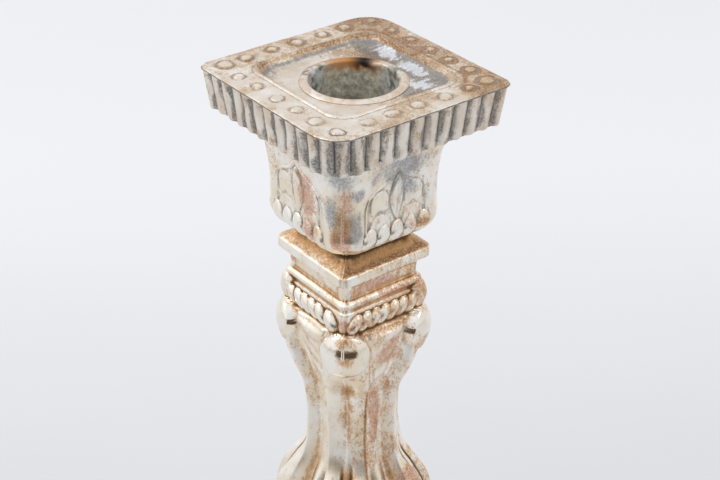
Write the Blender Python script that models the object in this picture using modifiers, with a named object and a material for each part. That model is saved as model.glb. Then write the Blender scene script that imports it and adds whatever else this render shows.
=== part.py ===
"""Square silver-plated candlestick: cast shells on a tie rod, with a lift-out candle nozzle.

All sizes are in millimetres, measured from the resting plane, and become metres in each mesh.
"""
import math

import bmesh
import bpy
import numpy as np
from mathutils import Matrix, Vector

MM = 0.001
GAP = 0.3
ROOT2 = math.sqrt(2.0)

# Overall levels, from the resting plane up. The studs and the ridge rise above the pan's rim,
# and places on the upper castings are stated as drops below that rim.
HEIGHT = 245.0
STUD_RISE = 0.7
RIM = HEIGHT - STUD_RISE
FELT_TOP = 1.4
PLATE_TOP = 2.7
PLINTH_FOOT = 0.8
PLINTH_TOP = 16.7
FOOT_TOP = 35.7
FOOT_COLLAR_TOP = 41.7
LOWER_STEM_TOP = 99.7
KNOP_COLLAR_TOP = 104.7
UPPER_STEM_TOP = 201.1
CAPITAL_TOP = 240.0
SKIRT_FOOT = 233.2

# Drip pan.
PAN_HALF = 27.2
PAN_SEAM_RADIUS = 7.8
PAN_SIDE_RADIUS = 2.8
SKIRT_TAPER = 1.3
REEDS_PER_SIDE = 12
REED_DEPTH = 0.7
SKIRT_WALL = 3.0
RIDGE_HALF = 18.8
RIDGE_RADIUS = 5.8
RIDGE_DROP = 0.1
PANEL_DEPTH = 2.2
PAN_UNDERSIDE = CAPITAL_TOP + GAP
STUD_ROW = 22.9
STUD_SPACING = 7.5
STUDS_PER_SIDE = 5
STUD_RADIUS = 1.9
CORNER_STUD_INSET = 0.6
CORNER_STUD_RADIUS = 2.4

# Candle nozzle and the sleeve that takes it.
CANDLE_RADIUS = 11.0
TUBE_WALL = 1.0
TUBE_LIP = 13.4
LIP_TOP = RIM - 1.3
TUBE_FOOT = 212.5
TUBE_FLOOR = 1.2
SLEEVE_TOP = 238.0
SLEEVE_WALL = 1.0
SLIDE_CLEARANCE = 0.4

# Capital: half-side and cut corner of its hollow and of the hollow's mouth.
CAPITAL_FLOOR = 5.2
CAPITAL_HOLLOW = (14.2, 17.4)
CAPITAL_MOUTH = (16.6, 21.0)

# Rod, nuts and washers.
ROD_RADIUS = 3.0
ROD_HOLE = 3.4
ROD_FOOT = 3.2
ROD_TAIL = 0.8
ROD_CHAMFER = 0.4
NUT_CHAMFER = 0.35
WASHER_THICKNESS = 1.1
TOP_WASHER_RADIUS = 8.0
BASE_WASHER_RADIUS = 7.0
NUT_ACROSS_FLATS = 10.0
TOP_NUT_THICKNESS = 3.2
BASE_NUT_THICKNESS = 4.5
BAR_HALF_LENGTH = 40.0
BAR_HALF_WIDTH = 8.0
BAR_THICKNESS = 3.0

# Bead band of the upper stem.
BEADS_PER_FACE = 7
BEAD_SPACING = 2.96
BAND_LEVEL = RIM - 61.0
BAND_HALF = 13.2
BEAD_SIZE = (1.15, 1.45, 2.3)
BEAD_LEAN = math.radians(24.0)

# Corner domes of the upper stem's shoulder.
DOME_LEVEL = RIM - 71.5
DOME_SIZE = (4.4, 6.0, 6.4)
DOME_REACH = 16.0

# Solid ends of the hollow stem castings, and reach of the two collars' middles.
STEM_TOP_WALL = 4.0
STEM_END_WALL = 3.0
KNOP_COLLAR_REACH = 12.2
FOOT_COLLAR_REACH = 13.0

# Foot: walls below, at the sides and at the cut corners, and half-side and corner of its opening.
FOOT_DROP = 2.2
FOOT_WALL = 1.8
FOOT_CORNER_WALL = 2.5
FOOT_OPENING = (37.6, 50.4)

# Ballast: how far it stays inside the foot's outside.
BALLAST_DROP = 2.8
BALLAST_INSET = 2.6
BALLAST_CORNER_INSET = 3.5
BALLAST_CUT = 3.9
BALLAST_HIGHEST = 29.2
BALLAST_CLEARANCE = 0.4

# Base.
PLINTH_HALF = 49.0
PLATE_HALF = 45.0
PLATE_CLEARANCE = 0.6
PLINTH_INNER_HALF = 43.0
LEDGE_HALF = 36.0
CORNER_ROUND = 3.0

ROUND_SEGMENTS = 32


def clear_scene():
    """Remove every object of the file that the script runs in."""
    for obj in list(bpy.data.objects):
        bpy.data.objects.remove(obj, do_unlink=True)


def make_collection(name):
    """Return a new collection linked to the scene."""
    collection = bpy.data.collections.new(name)
    bpy.context.scene.collection.children.link(collection)
    return collection


def metal(name, colour, roughness, metallic=1.0):
    """Return a Principled material."""
    material = bpy.data.materials.new(name)
    material.use_nodes = True
    shader = material.node_tree.nodes["Principled BSDF"]
    shader.inputs["Base Color"].default_value = (*colour, 1.0)
    shader.inputs["Roughness"].default_value = roughness
    shader.inputs["Metallic"].default_value = metallic
    material.diffuse_color = (*colour, 1.0)
    return material


def add_object(name, mesh, collection, material=None):
    """Link a mesh as an object of the same name."""
    mesh.name = name
    obj = bpy.data.objects.new(name, mesh)
    collection.objects.link(obj)
    if material is not None:
        mesh.materials.append(material)
    return obj


def shade(mesh, angle=35.0):
    """Shade round surfaces smooth and keep the edges crisp."""
    mesh.shade_smooth()
    mesh.set_sharp_from_angle(angle=math.radians(angle))


def steady_curve(stations, count):
    """Sample a smooth curve without overshoot through (level, value, value, ...) stations."""
    table = np.array(stations, dtype=float)
    level = table[:, 0]
    steps = np.diff(level)
    samples = np.linspace(level[0], level[-1], count)
    columns = [samples]
    for value in table[:, 1:].T:
        slope = np.diff(value) / steps
        tangent = np.zeros(len(level))
        for index in range(1, len(level) - 1):
            before, after = slope[index - 1], slope[index]
            if before * after > 0.0:
                tangent[index] = 2.0 * before * after / (before + after)
        tangent[0], tangent[-1] = slope[0], slope[-1]
        place = np.clip(np.searchsorted(np.sign(steps[0]) * level, np.sign(steps[0]) * samples) - 1,
                        0, len(steps) - 1)
        t = (samples - level[place]) / steps[place]
        start = (1 + 2 * t) * (1 - t) ** 2 * value[place] + t * (1 - t) ** 2 * steps[place] * tangent[place]
        end = t * t * (3 - 2 * t) * value[place + 1] + t * t * (t - 1) * steps[place] * tangent[place + 1]
        columns.append(start + end)
    return [tuple(row) for row in np.array(columns).T]


def quarter_turns(points):
    """Repeat a quarter outline around the axis."""
    outline = []
    for turn in range(4):
        for x, y in points:
            for _ in range(turn):
                x, y = -y, x
            outline.append((x, y))
    return outline


def strapped_section(corner, strap, face, foot):
    """Outline with a flat strap across each corner and a channel in each face.

    corner is the strap's distance from the axis, strap its width, face the channel floor's
    distance from the axis and foot half the floor's width.
    """
    along = corner / ROOT2
    across = strap / 2.0 / ROOT2
    strap_ends = [(along + across, along - across), (along - across, along + across)]
    return quarter_turns(strap_ends + [(foot, face), (-foot, face)])


def cut_square(half, corner):
    """Square outline of half-side half, with its corners cut at the distance corner."""
    strap = 2.0 * (ROOT2 * half - corner)
    return strapped_section(corner, strap, half, (corner * ROOT2 - half) / 3.0)


def round_section(radius):
    """Circle with as many points as a strapped section."""
    turns = np.arange(16) * math.tau / 16.0 + math.radians(33.75)
    return [(radius * math.cos(turn), radius * math.sin(turn)) for turn in turns]


def rounded_square(half, seam_radius, side_radius, per_side, reed_depth=0.0):
    """Rounded square from diagonal to diagonal, with points at equal steps along each side.

    The corners on the +X-Y diagonal have seam_radius and the others side_radius. With a
    reed_depth, every third point is the valley between two reeds.
    """
    outline = []
    for side in range(4):
        first, last = (seam_radius, side_radius) if side % 2 == 0 else (side_radius, seam_radius)
        arcs = (first * math.pi / 4.0, 2.0 * half - first - last, last * math.pi / 4.0)
        for step in range(per_side):
            distance = sum(arcs) * step / per_side
            if distance < arcs[0]:
                angle = distance / first - math.pi / 4.0
                centre = (half - first, -half + first)
                radius = first
            elif distance < arcs[0] + arcs[1]:
                angle = 0.0
                centre = (half, -half + first + distance - arcs[0])
                radius = 0.0
            else:
                angle = (distance - arcs[0] - arcs[1]) / last
                centre = (half - last, half - last)
                radius = last
            reach = radius - (reed_depth if step % 3 == 0 else 0.0)
            x = centre[0] + reach * math.cos(angle)
            y = centre[1] + reach * math.sin(angle)
            for _ in range(side):
                x, y = -y, x
            outline.append((x, y))
    return outline


def soft_square(half, radius, arc_steps=4):
    """Square with its four corners rounded."""
    arc = np.linspace(0.0, math.pi / 2.0, arc_steps + 1)
    centre = half - radius
    quarter = [(centre + radius * math.cos(angle), centre + radius * math.sin(angle)) for angle in arc]
    return quarter_turns(quarter)


def ring_loft(name, rings, collection, material):
    """Skin a closed chain of rings, down the outside and back up the inside."""
    mesh = bpy.data.meshes.new(name)
    count = len(rings[0])
    vertices = [Vector(point) * MM for ring in rings for point in ring]
    faces = []
    for index in range(len(rings)):
        following = (index + 1) % len(rings)
        for step in range(count):
            after = (step + 1) % count
            faces.append((index * count + step, following * count + step,
                          following * count + after, index * count + after))
    mesh.from_pydata(vertices, [], faces)
    bm = bmesh.new()
    bm.from_mesh(mesh)
    bmesh.ops.recalc_face_normals(bm, faces=bm.faces)
    bmesh.ops.triangulate(bm, faces=bm.faces)
    bm.to_mesh(mesh)
    bm.free()
    shade(mesh)
    return add_object(name, mesh, collection, material)


def at_level(outline, level):
    """Lift a flat outline to a level."""
    return [(x, y, level) for x, y in outline]


def turned(name, profile, collection, material, segments=ROUND_SEGMENTS, closed=True):
    """Turn a (radius, level) profile around the axis, with a Screw modifier.

    A profile that starts and ends on the axis isn't closed.
    """
    mesh = bpy.data.meshes.new(name)
    vertices = [(radius * MM, 0.0, level * MM) for radius, level in profile]
    edges = [(index, index + 1) for index in range(len(profile) - 1)]
    if closed:
        edges.append((len(profile) - 1, 0))
    mesh.from_pydata(vertices, edges, [])
    obj = add_object(name, mesh, collection, material)
    screw = obj.modifiers.new("turn", "SCREW")
    screw.steps = segments
    screw.render_steps = segments
    screw.use_merge_vertices = True
    screw.merge_threshold = 0.00001
    screw.use_smooth_shade = True
    return obj


def plate(name, half_x, half_y, foot, top, collection, material, corner=CORNER_ROUND):
    """Flat plate with rounded upright corners."""
    bm = bmesh.new()
    bmesh.ops.create_cube(bm, size=1.0)
    scale = Matrix.Diagonal((2.0 * half_x * MM, 2.0 * half_y * MM, (top - foot) * MM, 1.0))
    shift = Matrix.Translation((0.0, 0.0, (top + foot) / 2.0 * MM))
    bmesh.ops.transform(bm, matrix=shift @ scale, verts=bm.verts)
    upright = [edge for edge in bm.edges if abs(edge.verts[0].co.z - edge.verts[1].co.z) > 0.5 * MM]
    bmesh.ops.bevel(bm, geom=upright, offset=corner * MM, segments=4, affect="EDGES", profile=0.5)
    mesh = bpy.data.meshes.new(name)
    bm.to_mesh(mesh)
    bm.free()
    return add_object(name, mesh, collection, material)


def combine(obj, tool, operation):
    """Cut a tool away from an object, or join it on."""
    boolean = obj.modifiers.new(operation.lower(), "BOOLEAN")
    boolean.operation = operation
    boolean.solver = "EXACT"
    boolean.object = tool
    tool.hide_render = True
    tool.display_type = "WIRE"


def hole_cutter(name, radius, foot, top, collection, segments=24):
    """Upright round cutter on the axis."""
    bm = bmesh.new()
    bmesh.ops.create_cone(bm, cap_ends=True, segments=segments, radius1=radius * MM, radius2=radius * MM,
                          depth=(top - foot) * MM)
    bmesh.ops.translate(bm, vec=(0.0, 0.0, (top + foot) / 2.0 * MM), verts=bm.verts)
    mesh = bpy.data.meshes.new(name)
    bm.to_mesh(mesh)
    bm.free()
    return add_object(name, mesh, collection)


def ellipsoid_group(name, places, segments, rings, collection):
    """One mesh with an ellipsoid at each (matrix, size) place."""
    bm = bmesh.new()
    for matrix, size in places:
        scale = Matrix.Diagonal((size[0] * MM, size[1] * MM, size[2] * MM, 1.0))
        bmesh.ops.create_uvsphere(bm, u_segments=segments, v_segments=rings, radius=1.0,
                                  matrix=matrix @ scale)
    mesh = bpy.data.meshes.new(name)
    bm.to_mesh(mesh)
    bm.free()
    return add_object(name, mesh, collection)


def placed(x, y, level, turn=0.0, lean=0.0):
    """Matrix at a place, turned about +Z and leaning about the local outward axis."""
    shift = Matrix.Translation((x * MM, y * MM, level * MM))
    return shift @ Matrix.Rotation(turn, 4, "Z") @ Matrix.Rotation(lean, 4, "X")


def drip_pan(parts, cutters, silver):
    """Square pan: reeded skirt, studded border, ridge and a sunk panel around the candle hole."""
    per_side = 3 * REEDS_PER_SIDE
    foot_half = PAN_HALF - SKIRT_TAPER
    hole = CANDLE_RADIUS + TUBE_WALL + SLIDE_CLEARANCE
    panel = RIM - PANEL_DEPTH
    inner_half = foot_half - SKIRT_WALL

    def outline(half, seam, side, level, reed_depth=0.0):
        return at_level(rounded_square(half, seam, side, per_side, reed_depth), level)

    rings = [
        outline(PAN_HALF - 0.5, PAN_SEAM_RADIUS, PAN_SIDE_RADIUS, RIM),
        outline(PAN_HALF, PAN_SEAM_RADIUS, PAN_SIDE_RADIUS, RIM - 0.4),
        outline(PAN_HALF, PAN_SEAM_RADIUS, PAN_SIDE_RADIUS, RIM - 1.0, REED_DEPTH),
        outline(foot_half, PAN_SEAM_RADIUS, PAN_SIDE_RADIUS, SKIRT_FOOT + 1.6, REED_DEPTH),
        outline(foot_half - 1.0, PAN_SEAM_RADIUS, PAN_SIDE_RADIUS, SKIRT_FOOT),
        outline(inner_half, PAN_SEAM_RADIUS, PAN_SIDE_RADIUS, SKIRT_FOOT),
        outline(inner_half, PAN_SEAM_RADIUS, PAN_SIDE_RADIUS, PAN_UNDERSIDE),
        outline(hole, hole, hole, PAN_UNDERSIDE),
        outline(hole, hole, hole, panel),
        outline(RIDGE_HALF - 1.8, RIDGE_RADIUS, RIDGE_RADIUS, panel),
        outline(RIDGE_HALF - 0.6, RIDGE_RADIUS, RIDGE_RADIUS, HEIGHT - RIDGE_DROP),
        outline(RIDGE_HALF + 0.2, RIDGE_RADIUS, RIDGE_RADIUS, HEIGHT - RIDGE_DROP),
        outline(RIDGE_HALF + 0.7, RIDGE_RADIUS, RIDGE_RADIUS, RIM),
    ]
    pan = ring_loft("drip_pan", rings, parts, silver)

    studs = []
    corner = STUD_ROW - CORNER_STUD_INSET
    for turn in range(4):
        spin = Matrix.Rotation(turn * math.pi / 2.0, 4, "Z")
        for index in range(STUDS_PER_SIDE):
            along = (index - (STUDS_PER_SIDE - 1) / 2.0) * STUD_SPACING
            studs.append((spin @ placed(STUD_ROW, along, RIM), (STUD_RADIUS, STUD_RADIUS, STUD_RISE)))
        size = (CORNER_STUD_RADIUS, CORNER_STUD_RADIUS, STUD_RISE)
        studs.append((spin @ placed(corner, corner, RIM), size))
    combine(pan, ellipsoid_group("stud_tool", studs, 10, 6, cutters), "UNION")
    return pan


def nozzle_tube(parts, brass):
    """Turned candle cup with a low lip and a closed floor, open at the top."""
    outer = CANDLE_RADIUS + TUBE_WALL
    underside = RIM - PANEL_DEPTH + GAP
    floor = TUBE_FOOT + TUBE_FLOOR
    profile = [
        (0.0, floor), (CANDLE_RADIUS - 0.8, floor), (CANDLE_RADIUS, floor + 0.8),
        (CANDLE_RADIUS, LIP_TOP - 0.6), (CANDLE_RADIUS + 0.6, LIP_TOP), (TUBE_LIP - 0.4, LIP_TOP),
        (TUBE_LIP, LIP_TOP - 0.4), (TUBE_LIP, underside), (outer, underside), (outer, TUBE_FOOT + 0.8),
        (outer - 0.8, TUBE_FOOT), (0.0, TUBE_FOOT),
    ]
    return turned("nozzle_tube", profile, parts, brass, closed=False)


def socket_sleeve(parts, brass):
    """Plain tube in the capital that the nozzle tube slides in."""
    inner = CANDLE_RADIUS + TUBE_WALL + SLIDE_CLEARANCE
    foot = UPPER_STEM_TOP + GAP + CAPITAL_FLOOR + GAP
    outer = inner + SLEEVE_WALL
    profile = [(outer, SLEEVE_TOP), (outer, foot), (inner, foot), (inner, SLEEVE_TOP)]
    return turned("socket_sleeve", profile, parts, brass)


def capital(parts, silver):
    """Square capital that swells at its lower edge, over a cove, and flares under the pan."""
    foot = UPPER_STEM_TOP + GAP
    floor = foot + CAPITAL_FLOOR
    outer = steady_curve([
        (CAPITAL_TOP, 19.3, 24.5), (RIM - 12.5, 18.8, 23.4), (RIM - 20.0, 17.5, 21.5),
        (RIM - 28.0, 16.9, 20.7), (RIM - 35.5, 17.2, 20.9), (RIM - 39.5, 15.0, 18.5),
    ], 14)
    outer += [(RIM - 40.2, 12.2, 15.5), (RIM - 41.0, 10.6, 13.9), (foot, 10.2, 13.4)]
    rings = [at_level(cut_square(half, corner), level) for level, half, corner in outer]
    rings.append(at_level(round_section(ROD_HOLE), foot))
    rings.append(at_level(round_section(ROD_HOLE), floor))
    rings.append(at_level(cut_square(*CAPITAL_HOLLOW), floor))
    rings.append(at_level(cut_square(*CAPITAL_HOLLOW), RIM - 20.0))
    rings.append(at_level(cut_square(*CAPITAL_MOUTH), CAPITAL_TOP))
    return ring_loft("capital", rings, parts, silver)


def upper_stem(parts, cutters, silver):
    """Abacus, neck, bead band, domed shoulder, strapped waist and lower knop in one casting.

    The beads lean towards the two seam corners.
    """
    foot = KNOP_COLLAR_TOP + GAP
    squares = [
        (UPPER_STEM_TOP, 10.4, 14.0), (RIM - 44.3, 11.3, 15.2), (RIM - 45.3, 12.7, 17.0),
        (RIM - 46.3, 14.3, 19.1), (RIM - 48.8, 14.3, 19.1), (RIM - 49.8, 12.3, 16.6),
        (RIM - 54.8, 11.9, 16.1), (RIM - 57.4, 12.2, 16.6), (RIM - 58.0, BAND_HALF, 17.8),
        (RIM - 64.2, BAND_HALF, 17.8), (RIM - 65.2, 13.0, 17.2),
    ]
    rings = [at_level(cut_square(half, corner), level) for level, half, corner in squares]
    straps = steady_curve([
        (RIM - 66.5, 17.0, 4.5, 13.5, 5.0), (RIM - 71.5, 18.0, 7.0, 13.5, 4.8),
        (RIM - 79.0, 16.2, 9.1, 11.8, 4.2), (RIM - 87.0, 12.8, 9.7, 9.8, 3.6),
        (RIM - 96.0, 11.8, 9.7, 9.2, 3.4), (RIM - 104.0, 11.8, 9.7, 9.2, 3.4),
        (RIM - 113.5, 14.6, 9.7, 10.4, 4.0), (RIM - 122.0, 19.4, 9.9, 13.2, 5.0),
        (RIM - 127.0, 20.6, 10.0, 14.4, 5.2), (RIM - 133.0, 18.8, 9.0, 13.6, 5.0),
        (foot, 14.0, 6.0, 11.0, 4.2),
    ], 28)
    rings += [at_level(strapped_section(*values), level) for level, *values in straps]
    hollow = steady_curve([
        (foot + STEM_END_WALL, 8.0), (RIM - 127.0, 11.5), (RIM - 104.0, 7.0), (RIM - 92.0, 7.0),
        (RIM - 72.0, 10.4), (RIM - 56.0, 9.4), (UPPER_STEM_TOP - STEM_TOP_WALL, 8.4),
    ], 13)
    rings.append(at_level(round_section(ROD_HOLE), foot))
    rings.append(at_level(round_section(ROD_HOLE), foot + STEM_END_WALL))
    rings += [at_level(round_section(radius), level) for level, radius in hollow]
    rings.append(at_level(round_section(ROD_HOLE), UPPER_STEM_TOP - STEM_TOP_WALL))
    rings.append(at_level(round_section(ROD_HOLE), UPPER_STEM_TOP))
    stem = ring_loft("upper_stem", rings, parts, silver)

    beads = []
    domes = []
    diagonal = DOME_REACH / ROOT2
    for turn in range(4):
        spin = Matrix.Rotation(turn * math.pi / 2.0, 4, "Z")
        lean = BEAD_LEAN if turn % 2 == 0 else -BEAD_LEAN
        for index in range(BEADS_PER_FACE):
            along = (index - (BEADS_PER_FACE - 1) / 2.0) * BEAD_SPACING
            beads.append((spin @ placed(BAND_HALF, along, BAND_LEVEL, lean=lean), BEAD_SIZE))
        domes.append((spin @ placed(diagonal, diagonal, DOME_LEVEL, math.pi / 4.0), DOME_SIZE))
    combine(stem, ellipsoid_group("bead_tool", beads, 8, 6, cutters), "UNION")
    combine(stem, ellipsoid_group("dome_tool", domes, 14, 10, cutters), "UNION")
    return stem


def collar(name, foot, top, reach, parts, silver):
    """Turned ring with a rounded outside and a hole for the rod."""
    bulge = (top - foot) / 2.0
    middle = (top + foot) / 2.0
    arc = [(reach + bulge * math.cos(angle), middle + bulge * math.sin(angle))
           for angle in np.linspace(math.pi / 2.0, -math.pi / 2.0, 7)]
    return turned(name, arc + [(ROD_HOLE, foot), (ROD_HOLE, top)], parts, silver)


def lower_stem(parts, silver):
    """Square vase-shaped casting with straps and channels."""
    foot = FOOT_COLLAR_TOP + GAP
    straps = steady_curve([
        (LOWER_STEM_TOP, 14.2, 7.0, 11.0, 4.2), (93.0, 16.6, 8.6, 12.2, 4.6), (84.0, 18.6, 9.6, 13.4, 5.0),
        (66.0, 15.4, 9.2, 11.2, 4.4), (52.0, 12.8, 8.6, 9.8, 3.8), (foot, 14.4, 8.0, 11.2, 4.2),
    ], 18)
    cavity_top = LOWER_STEM_TOP - STEM_END_WALL
    hollow = steady_curve([(foot + STEM_END_WALL, 7.4), (66.0, 8.6), (84.0, 10.2), (cavity_top, 8.6)], 7)
    rings = [at_level(strapped_section(*values), level) for level, *values in straps]
    rings.append(at_level(round_section(ROD_HOLE), foot))
    rings.append(at_level(round_section(ROD_HOLE), foot + STEM_END_WALL))
    rings += [at_level(round_section(radius), level) for level, radius in hollow]
    rings.append(at_level(round_section(ROD_HOLE), cavity_top))
    rings.append(at_level(round_section(ROD_HOLE), LOWER_STEM_TOP))
    return ring_loft("lower_stem", rings, parts, silver)


def foot_curve():
    """Outside of the foot from its neck down to the plinth: (level, half-side, corner)."""
    return steady_curve([
        (FOOT_TOP, 12.4, 16.0), (33.4, 13.4, 17.4), (28.0, 20.0, 26.0), (22.0, 33.0, 43.5),
        (19.0, 39.6, 53.0), (PLINTH_TOP + GAP, 40.4, 54.2),
    ], 15)


def foot_dome(parts, silver):
    """Square trumpet-shaped foot, hollow and open underneath."""
    outside = foot_curve()
    foot = PLINTH_TOP + GAP
    inside = [(level - FOOT_DROP, half - FOOT_WALL, corner - FOOT_CORNER_WALL)
              for level, half, corner in outside if level - FOOT_DROP > foot]
    rings = [at_level(cut_square(half, corner), level) for level, half, corner in outside]
    rings.append(at_level(cut_square(*FOOT_OPENING), foot))
    rings += [at_level(cut_square(half, corner), level) for level, half, corner in reversed(inside)]
    rings.append(at_level(round_section(ROD_HOLE), inside[0][0]))
    rings.append(at_level(round_section(ROD_HOLE), FOOT_TOP))
    return ring_loft("foot_dome", rings, parts, silver)


def ballast(parts, cutters, filler):
    """Cast weight that fills the foot and the plinth, poured around the anchor bar."""
    foot = PLATE_TOP + GAP
    shoulder = bar_top()
    upper_half = LEDGE_HALF - BALLAST_CLEARANCE
    lower_half = PLINTH_INNER_HALF - BALLAST_CLEARANCE
    inside = [(level - BALLAST_DROP, half - BALLAST_INSET, corner - BALLAST_CORNER_INSET)
              for level, half, corner in foot_curve()]
    inside = [place for place in inside if PLINTH_TOP + GAP < place[0] < BALLAST_HIGHEST]
    steps = [(upper_half, PLINTH_TOP), (upper_half, shoulder), (lower_half, shoulder), (lower_half, foot)]
    rings = [at_level(cut_square(half, corner), level) for level, half, corner in inside]
    for half, level in steps:
        rings.append(at_level(cut_square(half, half * ROOT2 - BALLAST_CUT), level))
    rings.append(at_level(round_section(ROD_HOLE + GAP), foot))
    rings.append(at_level(round_section(ROD_HOLE + GAP), inside[0][0]))
    weight = ring_loft("ballast", rings, parts, filler)
    slot = plate("bar_slot", BAR_HALF_LENGTH + BALLAST_CLEARANCE, BAR_HALF_WIDTH + BALLAST_CLEARANCE,
                 foot - 1.0, bar_top() + GAP, cutters, None)
    combine(weight, slot, "DIFFERENCE")
    return weight


def base_plinth(parts, silver):
    """Square stepped base, open inside, with a ledge for the anchor bar and a rim for the plate."""
    ledge = bar_top() + GAP
    plate_opening = PLATE_HALF + PLATE_CLEARANCE
    steps = [
        (41.6, PLINTH_TOP), (42.4, 15.9), (42.6, 14.6), (45.6, 14.0), (46.6, 13.0), (46.9, 12.2), (48.0, 4.2),
        (PLINTH_HALF, 3.4), (PLINTH_HALF, PLINTH_FOOT), (plate_opening, PLINTH_FOOT),
        (plate_opening, PLATE_TOP + GAP), (PLINTH_INNER_HALF, PLATE_TOP + GAP), (PLINTH_INNER_HALF, ledge),
        (LEDGE_HALF, ledge), (LEDGE_HALF, PLINTH_TOP),
    ]
    rings = [at_level(soft_square(half, CORNER_ROUND), level) for half, level in steps]
    return ring_loft("base_plinth", rings, parts, silver)


def bar_foot():
    """Level of the anchor bar's underside, above the nut and washer."""
    return ROD_FOOT + ROD_TAIL + BASE_NUT_THICKNESS + GAP + WASHER_THICKNESS + GAP


def bar_top():
    """Level of the anchor bar's upper side."""
    return bar_foot() + BAR_THICKNESS


def washer(name, radius, foot, parts, steel):
    """Flat ring around the rod."""
    top = foot + WASHER_THICKNESS
    profile = [(radius, top), (radius, foot), (ROD_HOLE, foot), (ROD_HOLE, top)]
    return turned(name, profile, parts, steel, 24)


def nut(name, foot, thickness, parts, cutters, steel):
    """Hexagon nut with chamfered corners and a round hole."""
    top = foot + thickness
    radius = NUT_ACROSS_FLATS / 2.0 / math.cos(math.pi / 6.0)
    bm = bmesh.new()
    bmesh.ops.create_cone(bm, cap_ends=True, segments=6, radius1=radius * MM, radius2=radius * MM,
                          depth=thickness * MM)
    bmesh.ops.translate(bm, vec=(0.0, 0.0, (top + foot) / 2.0 * MM), verts=bm.verts)
    bmesh.ops.bevel(bm, geom=list(bm.edges), offset=NUT_CHAMFER * MM, segments=1, affect="EDGES")
    mesh = bpy.data.meshes.new(name)
    bm.to_mesh(mesh)
    bm.free()
    obj = add_object(name, mesh, parts, steel)
    combine(obj, hole_cutter(name + "_hole", ROD_RADIUS + GAP, foot - 1.0, top + 1.0, cutters), "DIFFERENCE")
    return obj


def tie_rod(parts, steel):
    """Round rod through every casting, chamfered at both ends."""
    top = UPPER_STEM_TOP + GAP + CAPITAL_FLOOR + GAP + WASHER_THICKNESS + GAP + TOP_NUT_THICKNESS + GAP
    bm = bmesh.new()
    bmesh.ops.create_cone(bm, cap_ends=True, segments=24, radius1=ROD_RADIUS * MM, radius2=ROD_RADIUS * MM,
                          depth=(top - ROD_FOOT) * MM)
    bmesh.ops.translate(bm, vec=(0.0, 0.0, (top + ROD_FOOT) / 2.0 * MM), verts=bm.verts)
    rims = [edge for edge in bm.edges if abs(edge.verts[0].co.z - edge.verts[1].co.z) < 1e-6]
    bmesh.ops.bevel(bm, geom=rims, offset=ROD_CHAMFER * MM, segments=1, affect="EDGES")
    mesh = bpy.data.meshes.new("tie_rod")
    bm.to_mesh(mesh)
    bm.free()
    shade(mesh)
    return add_object("tie_rod", mesh, parts, steel)


def base_hardware(parts, cutters, steel):
    """Nut, washer and bar that hold the rod's lower end in the plinth."""
    nut_foot = ROD_FOOT + ROD_TAIL
    washer_foot = nut_foot + BASE_NUT_THICKNESS + GAP
    nut("base_nut", nut_foot, BASE_NUT_THICKNESS, parts, cutters, steel)
    washer("base_washer", BASE_WASHER_RADIUS, washer_foot, parts, steel)
    bar = plate("anchor_bar", BAR_HALF_LENGTH, BAR_HALF_WIDTH, bar_foot(), bar_top(), parts, steel)
    combine(bar, hole_cutter("bar_hole", ROD_HOLE, bar_foot() - 1.0, bar_top() + 1.0, cutters), "DIFFERENCE")


def top_hardware(parts, cutters, steel):
    """Washer and nut on the capital's floor."""
    washer_foot = UPPER_STEM_TOP + GAP + CAPITAL_FLOOR + GAP
    washer("top_washer", TOP_WASHER_RADIUS, washer_foot, parts, steel)
    nut("top_nut", washer_foot + WASHER_THICKNESS + GAP, TOP_NUT_THICKNESS, parts, cutters, steel)


def main():
    clear_scene()
    parts = make_collection("candlestick")
    cutters = make_collection("cutters")
    warm_silver = (0.72, 0.66, 0.58)
    drip_pan(parts, cutters, metal("pan_silver", (0.62, 0.58, 0.53), 0.45))
    nozzle_tube(parts, metal("nozzle_metal", (0.30, 0.29, 0.25), 0.5))
    socket_sleeve(parts, metal("sleeve_brass", (0.55, 0.46, 0.28), 0.45))
    capital(parts, metal("capital_silver", (0.66, 0.60, 0.53), 0.38))
    upper_stem(parts, cutters, metal("stem_silver", warm_silver, 0.3))
    collar("knop_collar", LOWER_STEM_TOP + GAP, KNOP_COLLAR_TOP, KNOP_COLLAR_REACH, parts,
           metal("knop_collar_silver", warm_silver, 0.3))
    lower_stem(parts, metal("lower_stem_silver", warm_silver, 0.32))
    collar("foot_collar", FOOT_TOP + GAP, FOOT_COLLAR_TOP, FOOT_COLLAR_REACH, parts,
           metal("foot_collar_silver", warm_silver, 0.3))
    foot_dome(parts, metal("foot_silver", warm_silver, 0.34))
    base_plinth(parts, metal("plinth_silver", (0.64, 0.59, 0.53), 0.42))
    tie_rod(parts, metal("rod_steel", (0.45, 0.44, 0.43), 0.4))
    top_hardware(parts, cutters, metal("top_fixing_steel", (0.5, 0.5, 0.5), 0.4))
    base_hardware(parts, cutters, metal("base_fixing_steel", (0.48, 0.48, 0.48), 0.42))
    ballast(parts, cutters, metal("ballast_plaster", (0.62, 0.58, 0.5), 0.9, 0.0))
    plate("base_plate", PLATE_HALF, PLATE_HALF, FELT_TOP + GAP, PLATE_TOP, parts,
          metal("plate_steel", (0.4, 0.4, 0.4), 0.5))
    plate("felt_pad", PLATE_HALF, PLATE_HALF, 0.0, FELT_TOP, parts,
          metal("felt_green", (0.05, 0.13, 0.08), 0.95, 0.0))


main()
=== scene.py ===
"""Square silver-plated candlestick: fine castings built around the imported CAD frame.

Lengths are in millimetres and become metres in each mesh. Heights on the upper castings are
depths below the drip pan's rim. Outlines are lists of stations, which steady() joins smoothly.
"""
import math

import bpy
import numpy as np
from mathutils import Matrix, Vector


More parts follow.
